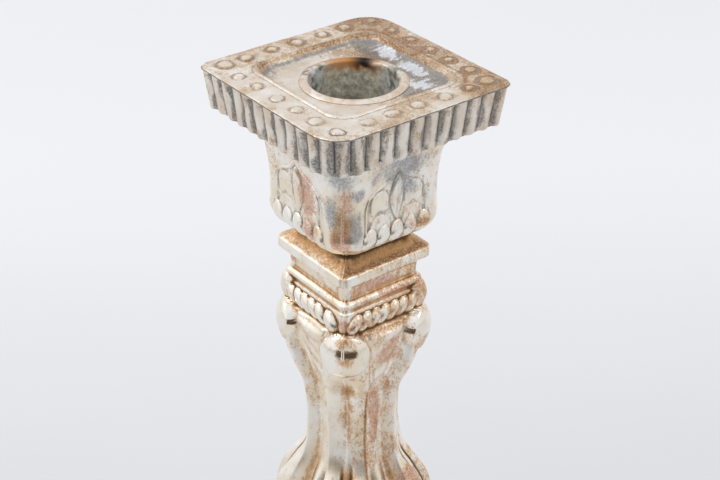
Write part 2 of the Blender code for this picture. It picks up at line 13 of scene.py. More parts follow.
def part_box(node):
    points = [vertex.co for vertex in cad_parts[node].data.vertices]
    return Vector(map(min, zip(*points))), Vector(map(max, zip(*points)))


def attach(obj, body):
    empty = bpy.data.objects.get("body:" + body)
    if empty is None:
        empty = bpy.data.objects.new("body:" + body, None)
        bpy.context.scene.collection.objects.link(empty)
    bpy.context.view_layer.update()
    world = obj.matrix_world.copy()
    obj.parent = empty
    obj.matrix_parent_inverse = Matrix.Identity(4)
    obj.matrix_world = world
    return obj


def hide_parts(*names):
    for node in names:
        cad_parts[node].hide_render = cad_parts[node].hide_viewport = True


MM = 0.001
ROOT2 = math.sqrt(2.0)
QUARTER = math.pi / 2.0
EIGHTH = math.pi / 4.0

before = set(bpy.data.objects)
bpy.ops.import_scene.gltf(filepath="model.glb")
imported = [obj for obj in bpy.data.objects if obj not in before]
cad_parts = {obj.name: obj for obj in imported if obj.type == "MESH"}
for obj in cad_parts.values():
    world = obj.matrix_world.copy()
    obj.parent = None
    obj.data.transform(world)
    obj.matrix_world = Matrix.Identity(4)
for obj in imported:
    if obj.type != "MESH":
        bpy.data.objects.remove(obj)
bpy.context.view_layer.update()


def extent(node):
    """Lowest and highest corners of a CAD node, in millimetres."""
    low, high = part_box(node)
    return np.array(low) / MM, np.array(high) / MM


PAN_LOW, PAN_HIGH = extent("drip_pan")
TUBE_LOW, TUBE_HIGH = extent("nozzle_tube")
CAPITAL_LOW, CAPITAL_HIGH = extent("capital")
UPPER_LOW, UPPER_HIGH = extent("upper_stem")
LOWER_LOW, LOWER_HIGH = extent("lower_stem")

STUD_RISE = 0.7
RIM = PAN_HIGH[2] - STUD_RISE
PAN_HALF = PAN_HIGH[0] - 0.05
TUBE_LIP = TUBE_HIGH[0]
CANDLE_RADIUS = 11.0
PAN_HOLE = CANDLE_RADIUS + 1.4
ROD_HOLE = 3.4
REEDS_PER_SIDE = 12
REED_STEPS = 12


# --- shape functions

def steady(where, stations):
    """Smooth curve without overshoot through (place, value) stations."""
    places, values = np.array(sorted(stations), dtype=float).T
    steps = np.diff(places)
    slopes = np.diff(values) / steps
    tangents = np.zeros(len(places))
    product = slopes[:-1] * slopes[1:]
    total = np.where(product > 0.0, slopes[:-1] + slopes[1:], 1.0)
    tangents[1:-1] = np.where(product > 0.0, 2.0 * product / total, 0.0)
    tangents[0] = slopes[0]
    tangents[-1] = slopes[-1]
    where = np.clip(np.asarray(where, dtype=float), places[0], places[-1])
    index = np.clip(np.searchsorted(places, where) - 1, 0, len(steps) - 1)
    t = (where - places[index]) / steps[index]
    start = (1.0 + 2.0 * t) * (1.0 - t) ** 2 * values[index]
    start += t * (1.0 - t) ** 2 * steps[index] * tangents[index]
    end = t * t * (3.0 - 2.0 * t) * values[index + 1]
    end += t * t * (t - 1.0) * steps[index] * tangents[index + 1]
    return start + end


def ease(value, low, high):
    """Smooth step from 0 at low to 1 at high."""
    t = np.clip((value - low) / (high - low), 0.0, 1.0)
    return t * t * (3.0 - 2.0 * t)


def window(value, low, high, fall, end):
    """Smooth step up from low to high and back down from fall to end."""
    return ease(value, low, high) * (1.0 - ease(value, fall, end))


def soft_max(a, b, blend):
    """Larger of two fields, rounded where they meet."""
    mix = np.clip(0.5 + 0.5 * (a - b) / blend, 0.0, 1.0)
    return b * (1.0 - mix) + a * mix + blend * mix * (1.0 - mix)


def soft_min(a, b, blend):
    """Smaller of two fields, rounded where they meet."""
    return -soft_max(-a, -b, blend)


def round_top(value):
    """Half-circle profile: 1 at 0, and 0 from -1 and 1 outwards."""
    return np.sqrt(np.clip(1.0 - value ** 2, 0.0, 1.0))


def hump(distance, width):
    """Rounded ridge profile, 1 on the line and 0 beyond width."""
    t = np.clip(np.abs(distance) / width, 0.0, 1.0)
    return (1.0 - t * t) ** 2


def spot(points, centre, reach):
    """Round falloff from 1 at a centre to 0 at the given reaches, over a last axis of coordinates."""
    return hump(np.linalg.norm((points - np.array(centre)) / np.array(reach), axis=-1), 1.0)


def line_distance(u, v, points):
    """Distance from each (u, v) to a polyline."""
    nearest = np.full(np.broadcast(u, v).shape, 1e3)
    for (u0, v0), (u1, v1) in zip(points[:-1], points[1:]):
        du, dv = u1 - u0, v1 - v0
        t = np.clip(((u - u0) * du + (v - v0) * dv) / (du * du + dv * dv), 0.0, 1.0)
        nearest = np.minimum(nearest, np.hypot(u - u0 - t * du, v - v0 - t * dv))
    return nearest


LATTICE = np.random.default_rng(7).random((32, 32, 32))


def rumple(points, size, shift=0.0):
    """Smooth random field from -1 to 1 with features of the given size, over (..., 3) points."""
    scaled = points / size + shift
    cell = np.floor(scaled).astype(int)
    t = scaled - cell
    t = t * t * (3.0 - 2.0 * t)
    total = np.zeros(points.shape[:-1])
    for corner in range(8):
        step = np.array([corner & 1, corner >> 1 & 1, corner >> 2 & 1])
        weight = np.prod(np.where(step == 1, t, 1.0 - t), axis=-1)
        place = (cell + step) % 32
        total += weight * LATTICE[place[..., 0], place[..., 1], place[..., 2]]
    return total * 2.0 - 1.0


def spread(*runs):
    """Falling levels from (start, end, step) runs that meet end to end."""
    levels = [runs[0][0]]
    for start, end, step in runs:
        count = max(1, round(abs(end - start) / step))
        levels.extend(np.linspace(start, end, count + 1)[1:])
    return np.array(levels)


def round_ring(turns, level, radius):
    """Circle of (x, y, z) points around the axis."""
    return np.stack([radius * np.cos(turns), radius * np.sin(turns), np.full(len(turns), level)], axis=-1)


class Field:
    """Polar grid around the axis: a radius for every level and direction."""

    def __init__(self, levels, columns):
        turns = np.arange(columns) * math.tau / columns
        near_seam = np.concatenate([EIGHTH * k + np.linspace(-0.03, 0.03, 7) for k in (3, 7)])
        self.turns = np.unique(np.round(np.concatenate([turns, near_seam]), 5))
        self.levels = levels
        self.angle, self.level = np.meshgrid(self.turns, levels)
        self.depth = RIM - self.level
        self.face = np.floor((self.angle + EIGHTH) / QUARTER).astype(int) % 4
        self.tilt = (self.angle + EIGHTH) % QUARTER - EIGHTH
        self.from_seam = np.where(self.face % 2 == 0, self.tilt, -self.tilt)
        self.corner_tilt = self.angle % QUARTER - EIGHTH
        self.corner = np.floor(self.angle / QUARTER).astype(int) % 4

    def ellipsoid(self, tilt, rise, centre, across, size, lean=0.0, fade=1e-3):
        """Radius where rays leave an ellipsoid, 0 where they miss it, softened at its edge by fade.

        centre and across place it along and across the direction that tilt is measured from, rise
        is the level above its middle, size its outward, across and upward half-sizes.
        """
        out, wide, tall = size
        cos_lean, sin_lean = math.cos(lean), math.sin(lean)
        p = np.sin(tilt) * cos_lean
        q = -across * cos_lean + rise * sin_lean
        u = -np.sin(tilt) * sin_lean
        v = across * sin_lean + rise * cos_lean
        a = (np.cos(tilt) / out) ** 2 + (p / wide) ** 2 + (u / tall) ** 2
        b = -centre * np.cos(tilt) / out ** 2 + p * q / wide ** 2 + u * v / tall ** 2
        c = (centre / out) ** 2 + (q / wide) ** 2 + (v / tall) ** 2 - 1.0
        inside = (b * b - a * c) / a
        reach = (-b + np.sqrt(np.maximum(inside * a, 0.0))) / a
        return np.where(inside > 0.0, reach * ease(inside, -1e-6, fade), 0.0)

    def across(self, half):
        """How far along its face each direction meets a plane at distance half."""
        return half * np.tan(self.from_seam)

    def on_face(self, distance):
        """Radius that puts each point at a distance from the axis, measured square to its face."""
        return distance / np.cos(self.tilt)

    def seam(self, radius, width=0.4, height=0.36):
        """Raised mould line down the two seam corners."""
        across = radius * np.sin(self.corner_tilt)
        return np.where(self.corner % 2 == 1, height * hump(across, width), 0.0)

    def points(self, radius):
        """Grid of (x, y, z) points."""
        return np.stack([radius * np.cos(self.angle), radius * np.sin(self.angle), self.level], axis=-1)

    def inner_rings(self, places):
        """Round rings of (x, y, z) points inside the casting at (level, radius) places."""
        return np.array([round_ring(self.turns, level, radius) for level, radius in places])


def blurred(field, places, spacing, reach):
    """Gaussian blur of a (levels, directions) field; columns close on themselves."""
    gap = places[:, None] - places[None, :]
    weight = np.exp(-0.5 * (gap / reach) ** 2) * np.abs(np.gradient(places))[None, :]
    weight /= weight.sum(axis=1, keepdims=True)
    count = field.shape[1]
    step = np.minimum(np.arange(count), count - np.arange(count)) * spacing
    ring = np.exp(-0.5 * (step / reach) ** 2)
    ring /= ring.sum()
    around = np.real(np.fft.ifft(np.fft.fft(field, axis=1) * np.fft.fft(ring)[None, :], axis=1))
    return weight @ around


def hollows(height, places, spacing, gain=1.0):
    """How far each point lies in a recess (positive) or on a crest (negative), about -1 to 1."""
    fine = blurred(height, places, spacing, 0.6) - height
    broad = blurred(height, places, spacing, 2.0) - height
    return np.clip(gain * (2.4 * fine + 0.1 * broad), -1.0, 1.0)


# --- mesh building

def add_object(name, data):
    """Object of the given name that holds data, linked into the scene."""
    obj = bpy.data.objects.new(name, data)
    bpy.context.scene.collection.objects.link(obj)
    return obj


def add_quad(name, corners):
    """Object made of one four-sided face."""
    mesh = bpy.data.meshes.new(name)
    mesh.from_pydata(corners, [], [(0, 1, 2, 3)])
    return add_object(name, mesh)


def closed_grid(name, rings, hollow, stains=None, capped=False):
    """Skin a chain of rings that closes on itself, or is capped at both ends.

    hollow and stains hold a value per point, kept as attributes for the materials.
    """
    total, count = rings.shape[:2]
    index = np.arange(total * count).reshape(total, count)
    following = np.roll(index, -1, axis=0)
    if capped:
        index, following = index[:-1], following[:-1]
    quads = np.stack([index, following, np.roll(following, -1, axis=1), np.roll(index, -1, axis=1)], axis=-1)
    faces = quads.reshape(-1, 4).tolist()
    points = rings.reshape(-1, 3)
    if capped:
        middles = rings[[0, -1]].mean(axis=1)
        points = np.concatenate([points, middles])
        last = (total - 1) * count
        for column in range(count):
            after = (column + 1) % count
            faces.append([total * count, column, after])
            faces.append([last + after, last + column, total * count + 1])
    mesh = bpy.data.meshes.new(name)
    mesh.from_pydata((points * MM).tolist(), [], faces)
    mesh.validate()
    mesh.shade_smooth()
    values = {"hollow": hollow}
    values.update(stains or {})
    for label, field in values.items():
        field = np.broadcast_to(field, rings.shape[:2]).reshape(-1)
        field = np.concatenate([field, np.zeros(len(points) - len(field))])
        attribute = mesh.attributes.new(label, "FLOAT", "POINT")
        attribute.data.foreach_set("value", field.astype(np.float32))
    return add_object(name, mesh)


def cast_shell(name, field, radius, inside, stains, gain=1.0):
    """Casting with a polar field outside and round (level, radius) rings inside, bottom to top.

    gain scales how strongly recesses darken, as a number or a value per point.
    """
    reach = float(np.median(radius))
    hollow = gain * hollows(radius, field.levels, reach * math.tau / len(field.turns))
    rings = np.concatenate([field.points(radius), field.inner_rings(inside)])
    filler = np.ones((len(inside), len(field.turns)))
    hollow = np.concatenate([hollow, filler])
    stains = {label: np.concatenate([values, 0.5 * filler]) for label, values in stains.items()}
    return closed_grid(name, rings, hollow, stains)


def rounded_square(half, seam_radius, side_radius, per_side):
    """Rounded square from the +X-Y diagonal on: points and outward normals at equal steps."""
    step = np.arange(per_side) / per_side
    places = []
    normals = []
    for side in range(4):
        first, last = (seam_radius, side_radius) if side % 2 == 0 else (side_radius, seam_radius)
        arcs = (first * EIGHTH, 2.0 * half - first - last, last * EIGHTH)
        along = sum(arcs) * step
        angle = np.where(along < arcs[0], along / first - EIGHTH, 0.0)
        angle = np.where(along > arcs[0] + arcs[1], (along - arcs[0] - arcs[1]) / last, angle)
        straight = np.clip(along - arcs[0], 0.0, arcs[1])
        bend = np.where(along < arcs[0], first, np.where(along > arcs[0] + arcs[1], last, 0.0))
        x = np.where(bend > 0.0, half - bend, half) + bend * np.cos(angle)
        y = -half + first + straight + bend * np.sin(angle)
        nx, ny = np.cos(angle), np.sin(angle)
        for _ in range(side):
            x, y = -y, x
            nx, ny = -ny, nx
        places.append(np.stack([x, y], axis=-1))
        normals.append(np.stack([nx, ny], axis=-1))
    return np.concatenate(places), np.concatenate(normals)


def square_ring(half, seam_radius, side_radius, per_side, level):
    """Rounded square of (x, y, z) points at a level."""
    flat, _ = rounded_square(half, seam_radius, side_radius, per_side)
    return np.column_stack([flat, np.full(len(flat), level)])


# --- drip pan

PAN_SEAM_RADIUS = 7.8
PAN_SIDE_RADIUS = 2.8
SKIRT_TAPER = 1.3
RIDGE_RADIUS = 5.8
STUD_ROW = 22.9
STUD_SPACING = 7.5
STUD_RADIUS = 1.85
CORNER_STUD_INSET = 0.6
PANEL_HALF = 17.2
RIDGE_OUTER = 19.4


def stud_places():
    """Centres and radii of the 24 unevenly placed studs of the pan's border."""
    uneven = np.random.default_rng(11)
    turned = []
    for turn, (shift, corner_size) in enumerate(((1.5, 2.45), (-0.6, 2.2), (0.4, 2.6), (0.2, 1.75))):
        places = [(STUD_ROW, index * STUD_SPACING + shift, STUD_RADIUS) for index in (-2, -1, 0, 1, 2)]
        places.append((STUD_ROW - CORNER_STUD_INSET, STUD_ROW - CORNER_STUD_INSET, corner_size))
        for x, y, radius in places:
            x, y = (x, y) + uneven.uniform(-0.35, 0.35, 2)
            for _ in range(turn):
                x, y = -y, x
            turned.append((x, y, radius * uneven.uniform(0.85, 1.05)))
    return turned


def border_relief(points):
    """Height of the studs, how near each point is to the ring around one, and to its top."""
    x, y = points[:, :2].T
    relief, rings, tops = np.zeros((3, len(points)))
    wobble = 0.35 * rumple(points, 1.5, 6.0)
    for stud_x, stud_y, radius in stud_places():
        distance = np.hypot(x - stud_x, y - stud_y) + wobble
        dome = round_top(distance / (radius * 0.9)) * (STUD_RISE - 0.2)
        relief = np.maximum(relief, dome)
        relief -= 0.2 * hump(distance - radius * 1.08, 0.5)
        relief += 0.1 * hump(distance - radius * 1.35, 0.5)
        rings = np.maximum(rings, hump(distance - radius * 1.02, 0.85))
        tops = np.maximum(tops, hump(distance, radius * 0.85))
    return relief, rings, tops


def pan_top_height(half):
    """Height of the pan's upper side over its distance from the middle, without the studs."""
    return steady(half, [(PAN_HOLE, -1.99), (13.4, -1.98), (13.9, -1.86), (15.5, -1.75), (16.8, -1.35),
                         (17.6, -0.6), (18.15, 0.2), (18.5, 0.34), (18.85, 0.08), (19.05, -0.1), (19.35, 0.0),
                         (26.3, 0.0), (26.9, -0.12), (PAN_HALF, -0.5)])


def pan_top_stains(half, rings, tops, points):
    """Stains of the pan's upper side: tan mottling, rusty ridges, a grey patch and pale flakes, with painted
    highlights on the stud tops.
    """
    flat = points[:, :2]
    x, y = flat.T
    cloud = rumple(points, 7.0, 2.2)
    ragged = 0.5 * rumple(points, 2.2, 5.1) + 0.3 * rumple(points, 0.9, 3.3)
    far_side = ease(y, 10.0, 18.5)
    back_side = ease(-x, 12.0, 18.5)
    right_side = ease(x, 12.0, 20.0)
    border = ease(half, 18.2, RIDGE_OUTER)
    ridge = hump(half - 18.0, 1.5)
    brown = 0.4 + 0.35 * cloud + 0.4 * ragged + 0.12 * right_side
    brown += border * (0.62 * far_side + 0.22 * back_side)
    brown += rings * (0.45 + 1.3 * far_side + 0.5 * back_side)
    brown += ridge * (0.05 + 0.75 * far_side + 0.75 * back_side)
    brown += 0.7 * hump(half - 20.4, 0.6) * far_side
    # the stud tops are kept less brown, part of their painted highlight
    brown += 0.5 * spot(flat, (-14.0, 9.0), (6.0, 7.0)) - 0.35 * tops
    inside = 1.0 - ease(half, PANEL_HALF, 18.0)
    brown -= 0.25 * inside * spot(flat, (8.0, -14.0), (16.0, 8.0))
    brown += inside * (0.9 * spot(flat, (-9.0, 12.0), (9.0, 5.0)) + 0.8 * spot(flat, (15.5, 7.0), (3.5, 9.0)))
    grey = spot(flat, (4.0, 15.5), (19.0, 7.0)) + spot(flat, (-12.0, 14.5), (9.0, 6.0))
    grey += spot(flat, (13.5, 10.5), (7.0, 11.0))
    grey = (1.9 * grey + 0.35 * ragged) * inside + border * (0.3 * cloud - 0.2 * ragged)
    streak = rumple(points * np.array([1.4, 0.5, 1.0]), 1.1, 7.7)
    flake_and_highlight = 1.1 * spot(flat, (-8.0, 16.2), (6.5, 3.4)) + spot(flat, (3.5, 15.2), (10.0, 2.8))
    flake_and_highlight += spot(flat, (11.5, 11.0), (5.0, 4.2))
    # the stud tops are whitened as painted highlights, less on the far side
    flake_and_highlight = (flake_and_highlight + 0.45 * streak) * inside + 0.4 * tops * (1.0 - 0.6 * far_side)
    return brown, grey, flake_and_highlight


def build_drip_pan():
    """Pan with studs, ridge and sunk panel on top, and a skirt of reeds with round lower ends."""
    per_side = REED_STEPS * REEDS_PER_SIDE
    rings, heights, travel, stains = [], [], [], []
    top = np.concatenate([np.linspace(PAN_HOLE, 17.0, 20), np.linspace(17.1, 19.7, 18),
                          np.linspace(19.9, 26.3, 34), np.linspace(26.45, PAN_HALF, 7)])
    for half in top:
        seam, side = (
            np.interp(half, [PAN_HOLE, PANEL_HALF, RIDGE_OUTER, PAN_HALF],
                      [PAN_HOLE, RIDGE_RADIUS, RIDGE_RADIUS, rim])
            for rim in (PAN_SEAM_RADIUS, PAN_SIDE_RADIUS))
        points = square_ring(half, seam, side, per_side, RIM)
        height = pan_top_height(half) + np.zeros(len(points))
        relief, near_ring, near_top = border_relief(points)
        border = ease(half, 19.3, 20.0) * ease(PAN_HALF - half, 0.2, 1.0)
        height += relief * border
        points[:, 2] += height
        rings.append(points)
        heights.append(height)
        travel.append(half)
        stains.append(pan_top_stains(half, near_ring * border, near_top * border, points))

    reed = (np.arange(4 * per_side) / REED_STEPS) % 1.0
    crown = round_top(2.0 * reed - 1.0)
    foot_depth = RIM - PAN_LOW[2]
    for depth in spread((-0.62, -1.6, 0.14), (-1.6, -8.6, 0.35), (-8.6, -foot_depth, 0.16)):
        half = PAN_HALF - SKIRT_TAPER * (-depth / foot_depth)
        flat, normal = rounded_square(half, PAN_SEAM_RADIUS, PAN_SIDE_RADIUS, per_side)
        points = np.column_stack([flat, np.full(len(flat), depth)])
        wavy = rumple(points * np.array([1.0, 1.0, 0.5]), 1.6, 5.5)
        round_end = -10.7 + 1.3 * (1.0 - crown) + 0.2 * rumple(points, 2.2, 9.0)
        body = window(depth, round_end - 0.3, round_end + 0.1, -1.0, -0.65)
        lower = 1.0 - ease(depth, -10.6, -8.6)
        groove = (1.0 - crown) ** 0.8
        offset = -1.15 * groove * body - 0.75 * (1.0 - ease(depth, round_end - 0.3, round_end + 0.1)) * lower
        offset -= 0.9 * ease(-depth, foot_depth - 0.5, foot_depth)
        offset -= 0.1 * hump(depth + 0.95, 0.3)
        offset += 0.16 * body * wavy + 0.06 * body * rumple(points, 0.9, 2.0)
        rings.append(np.column_stack([flat + normal * offset[:, None], np.full(len(flat), RIM + depth)]))
        heights.append(offset)
        travel.append(PAN_HALF - depth)
        streak = rumple(points * np.array([1.0, 1.0, 0.3]), 1.2, 4.4)
        patchy = rumple(points, 4.5, 1.9)
        side = 2.0 * reed - 1.0
        near_corner = hump(np.arctan2(flat[:, 1], flat[:, 0]) + EIGHTH, 0.5)
        dull = 0.1 + 0.95 * ease(np.abs(side + 0.4 * wavy), 0.3, 0.85) + 0.5 * streak + 0.35 * patchy
        dull += 0.45 * near_corner
        stains.append((0.3 + 0.4 * streak - 0.3 * patchy, dull * ease(-depth, 0.8, 1.4), np.zeros(len(flat))))
    inner_half = PAN_HALF - SKIRT_TAPER - 3.0
    underside = CAPITAL_HIGH[2] + 0.3
    for half, level in ((inner_half, PAN_LOW[2]), (inner_half, underside), (PAN_HOLE, underside)):
        seam = PAN_HOLE if half == PAN_HOLE else PAN_SEAM_RADIUS
        side = PAN_HOLE if half == PAN_HOLE else PAN_SIDE_RADIUS
        rings.append(square_ring(half, seam, side, per_side, level))
        stains.append(tuple(np.full(4 * per_side, value) for value in (0.3, 0.6, 0.0)))
    rings = np.array(rings)
    heights = np.array(heights)
    outer = len(heights)
    sway = 0.06 * rumple(rings[:len(top)], 5.0) + 0.04 * rumple(rings[:len(top)], 1.8, 3.0)
    rings[:len(top), :, 2] += np.minimum(sway, 0.04)
    hollow = hollows(heights, np.array(travel), 100.0 / per_side * 0.5, 1.2)
    hollow = np.concatenate([hollow, np.ones((len(rings) - outer, rings.shape[1]))])
    brown, grey, flake_and_highlight = np.array(stains).transpose(1, 0, 2)
    stains = {"brown": brown, "grey": grey, "flake_and_highlight": flake_and_highlight, "shine": 0.3}
    pan = closed_grid("pan_casting", rings, hollow, stains)
    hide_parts("drip_pan")
    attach(pan, "nozzle")
    return pan


# --- candle cup

def build_candle_cup():
    """Turned cup with a low uneven lip and lumpy wax and soot inside."""
    floor = TUBE_LOW[2] + 1.2
    lip_top = TUBE_HIGH[2] - 0.02
    outer = CANDLE_RADIUS + 1.0
    under = lip_top - 0.6
    lip = [(CANDLE_RADIUS + out, lip_top - down) for out, down in
           ((0.02, 0.6), (0.12, 0.32), (0.4, 0.12), (0.9, 0.0), (1.5, 0.1), (2.0, 0.35))]
    lip += [(TUBE_LIP - 0.15, lip_top - 0.5), (TUBE_LIP - 0.05, under)]
    wall = [(CANDLE_RADIUS, level) for level in np.linspace(floor + 0.8, lip_top - 0.8, 60)]
    bottom = [(radius, floor) for radius in np.linspace(0.4, CANDLE_RADIUS - 0.8, 22)]
    back = [(outer, under), (outer, TUBE_LOW[2] + 0.8), (outer - 0.8, TUBE_LOW[2]), (0.4, TUBE_LOW[2])]
    profile = np.array(bottom + wall + lip + back)
    count = 240
    turns = np.arange(count) * math.tau / count
    rings = np.array([round_ring(turns, level, radius) for radius, level in profile])
    inside = len(bottom) + len(wall)
    lump = np.clip(rumple(rings, 2.6) + 0.5 * rumple(rings, 1.1, 5.0), 0.0, 1.5)
    reach = np.zeros(len(profile))
    reach[len(bottom):inside] = 0.35
    reach[inside:inside + 3] = 0.12
    scale = 1.0 - reach[:, None] * lump / np.maximum(profile[:, :1], 1.0)
    rings[..., :2] *= scale[..., None]
    rings[:len(bottom), :, 2] += 0.4 * lump[:len(bottom)]
    turn = np.arctan2(rings[..., 1], rings[..., 0])
    grain = rumple(rings, 1.2, 2.9)
    below = lip_top - rings[..., 2]
    inner_side = np.zeros(rings.shape[:2])
    inner_side[:inside + 2] = 1.0
    specks = 0.6 * rumple(rings, 0.6, 8.1) + 0.5 * rumple(rings, 1.4, 3.7)
    soot = hump(turn - math.radians(130.0), 0.42) * ease(2.6 + 1.5 * grain - below, 0.0, 1.2)
    rust = hump(turn - math.radians(147.0), 1.1) * ease(4.0 + 2.0 * grain - below, 0.0, 2.5)
    sides = hump(turn - math.radians(-158.0), 0.75) + hump(turn - math.radians(86.0), 0.7)
    soot = np.maximum(soot, 0.6 * ease(sides * ease(8.0 - below, 0.0, 3.0) - specks, 0.7, 1.4))
    # pale bluish patches on the inner wall, left and right of the far side, are painted highlights
    painted_highlights = ease(sides * ease(9.0 - below, 0.0, 3.0) + 0.8 * specks, 0.6, 1.1)
    stains = {"inside": inner_side, "soot": soot, "brown": rust, "flake_and_highlight": painted_highlights * inner_side,
              "grey": 0.0 * soot}
    cup = closed_grid("candle_cup", rings, 0.0 * soot, stains, capped=True)
    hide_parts("nozzle_tube")
    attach(cup, "nozzle")
    return cup


# --- capital

LOBE_DEPTH = 35.8
LOBE_SPACING = 4.05
CAPITAL_COLUMNS = 544


def leaf_plate(side, depth, middle, half, top, bottom):
    """Smooth round-topped plate, 1 inside and 0 outside, with a scalloped lower edge."""
    rise = np.clip((top + half - depth) / half, 0.0, 1.0)
    reach = half * np.sqrt(1.0 - rise ** 2)
    inside = ease(reach - np.abs(side - middle), -0.1, 0.45) * ease(depth, top - 0.1, top + 0.3)
    scallop = bottom - 0.5 * np.cos((side - middle) * math.tau / half)
    return inside * (1.0 - ease(depth, scallop - 0.5, scallop + 0.15))


def capital_relief(across, depth):
    """Relief of one face of the capital: arched frame, leaves and a row of lobes."""
    side = np.abs(across)
    frame_line = [(9.2, 37.5), (9.2, 27.0), (8.4, 24.4), (6.0, 22.4), (2.6, 20.9), (0.0, 18.2)]
    relief = 0.34 * hump(line_distance(side, depth, frame_line), 0.65)
    arch = steady(side, [(0.0, 18.2), (2.6, 20.9), (6.0, 22.4), (8.4, 24.4), (9.2, 27.0)])
    panel = ease(depth, arch, arch + 0.7) * (1.0 - ease(side, 8.6, 9.3))
    relief -= 0.45 * panel
    relief += 0.6 * leaf_plate(side, depth, 5.2, 3.0, 22.9, 29.2)
    relief += 0.55 * leaf_plate(side, depth, 5.0, 3.5, 29.6, 35.0)

    along = np.clip((depth - 19.6) / 12.6, 0.0, 1.0)
    leaf_half = 0.1 + 2.1 * np.sin(math.pi * along ** 0.9) ** 0.9
    shown = np.where((along > 0.0) & (along < 1.0), 1.0, 0.0)
    vein = 0.16 * hump(side, 0.35) * window(along, 0.05, 0.3, 0.8, 1.0)
    relief = np.maximum(relief, round_top(side / leaf_half) * shown + vein - 0.4)

    slant = across + 0.15 * (depth - 35.6)
    lobe = (slant / LOBE_SPACING + 0.5) % 1.0 - 0.5
    rise = (depth - LOBE_DEPTH) / np.where(depth < LOBE_DEPTH, 3.3, 3.4)
    dome = np.sqrt(np.clip(1.0 - (2.0 * lobe) ** 2 - rise ** 2, 0.0, 1.0))
    dome *= 1.0 - ease(np.abs(slant), 9.9, 10.3)
    return soft_max(relief, 0.95 * dome - 0.1, 0.12)


def build_capital():
    """Square vase-shaped capital under the drip pan."""
    levels = spread((CAPITAL_HIGH[2], RIM - 17.0, 1.2), (RIM - 17.0, RIM - 40.0, 0.19),
                    (RIM - 40.0, CAPITAL_LOW[2], 0.3))
    field = Field(levels, CAPITAL_COLUMNS)
    depth = field.depth
    bottom = RIM - CAPITAL_LOW[2]
    half = steady(depth, [(4.3, 19.3), (12.5, 18.8), (20, 17.5), (28, 16.9), (33, 16.9), (35.5, 17.1),
                          (37.6, 16.5), (38.9, 15.6), (39.5, 15.0), (40.0, 12.6), (41.0, 10.6),
                          (bottom, 10.2)])
    corner = steady(depth, [(4.3, 24.5), (12.5, 23.4), (20, 21.5), (28, 20.7), (33, 20.7), (35.0, 20.9),
                            (37.0, 20.4), (38.6, 19.2), (39.5, 18.5), (40.0, 15.8), (41.0, 13.9),
                            (bottom, 13.4)])
    relief = capital_relief(field.across(half), depth) * (1.0 - ease(depth, 38.9, 39.5))
    side = field.on_face(half + relief)
    radius = soft_min(side, corner / np.cos(field.corner_tilt), 1.3)
    radius += field.seam(radius)
    radius += 0.08 * rumple(field.points(radius), 4.0)
    points = field.points(radius)
    # Painted shade among the spots: the first four grey ones, high on the capital just under the pan's skirt,
    # are painted shade as well as dull bloom; the last brown one, round the axis at the capital's foot, is
    # painted shadow under its overhang.
    stains = wear_and_painted_shade(
        points,
        copper=[(4.0, -17.0, 26.0, 6.5, 6.0, 12.0), (5.0, -17.0, 34.5, 7.0, 6.0, 6.0),
                (14.6, -14.6, 35.5, 5.0, 5.0, 7.0), (15.2, -14.0, 24.0, 3.0, 3.0, 6.0)],
        bloom_and_shade=[(17.5, 1.0, 18.0, 6.0, 15.0, 7.5), (17.5, 3.0, 23.5, 6.0, 7.0, 6.5),
               (3.0, -18.0, 15.0, 16.0, 6.0, 5.5), (15.0, -15.0, 17.5, 7.0, 7.0, 5.0),
               (12.4, -16.5, 27.5, 2.8, 3.0, 8.0), (16.6, -11.8, 32.0, 3.0, 2.8, 9.5),
               (16.9, -11.5, 22.0, 3.0, 3.0, 3.5), (17.5, -4.5, 29.0, 3.0, 4.0, 1.2)],
        rust=[(14.6, -14.6, 30.0, 4.4, 4.4, 10.0), (13.4, -15.7, 33.0, 3.2, 3.2, 8.0),
              (17.0, 8.5, 35.5, 5.0, 6.0, 3.0), (1.6, -17.5, 21.0, 2.6, 5.0, 3.4),
              (0.0, 0.0, 43.6, 19.0, 19.0, 4.6)])
    stains["brown"] -= 0.14 * (1.0 - ease(depth, 39.0, 40.0))
    inner = [(CAPITAL_LOW[2], ROD_HOLE), (CAPITAL_LOW[2] + 5.2, ROD_HOLE), (CAPITAL_LOW[2] + 5.2, 13.6),
             (CAPITAL_LOW[2] + 9.0, 14.2), (RIM - 20.0, 14.2), (CAPITAL_HIGH[2], 16.6)]
    piece = cast_shell("capital_casting", field, radius, inner, stains, 0.95 - 0.75 * ease(depth, 38.0, 39.0))
    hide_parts("capital")
    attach(piece, "candlestick")
    return piece


# --- stem

STEM_COLUMNS = 352
KNOP_RING_REEDS = 44
FOOT_RING_REEDS = 48
BEADS_PER_FACE = 7
BEAD_SPACING = 2.96
BEAD_DEPTH = 61.4
BEAD_SHIFT = -0.6
BEAD_LEAN = -36.0


def beads(field):
    """Radius of the row of leaning beads around the band, 0 between them.

    On alternate faces the two beads next to the seam corner are one large curl.
    """
    radius = np.zeros_like(field.level)
    rise = field.level - (RIM - BEAD_DEPTH)
    lean = math.radians(BEAD_LEAN)
    curled = field.face % 2 == 1
    for index in range(BEADS_PER_FACE):
        across = (index - (BEADS_PER_FACE - 1) / 2.0) * BEAD_SPACING + BEAD_SHIFT
        bead = field.ellipsoid(field.from_seam, rise, 12.85, across, (1.5, 1.75, 2.95), lean)
        if index < 2:
            bead = np.where(curled, 0.0, bead)
        radius = np.maximum(radius, bead)
    across = -2.45 * BEAD_SPACING + BEAD_SHIFT
    curl = field.ellipsoid(field.from_seam, rise + 0.2, 12.8, across, (1.9, 2.2, 3.1), lean)
    return np.maximum(radius, np.where(curled, curl, 0.0))


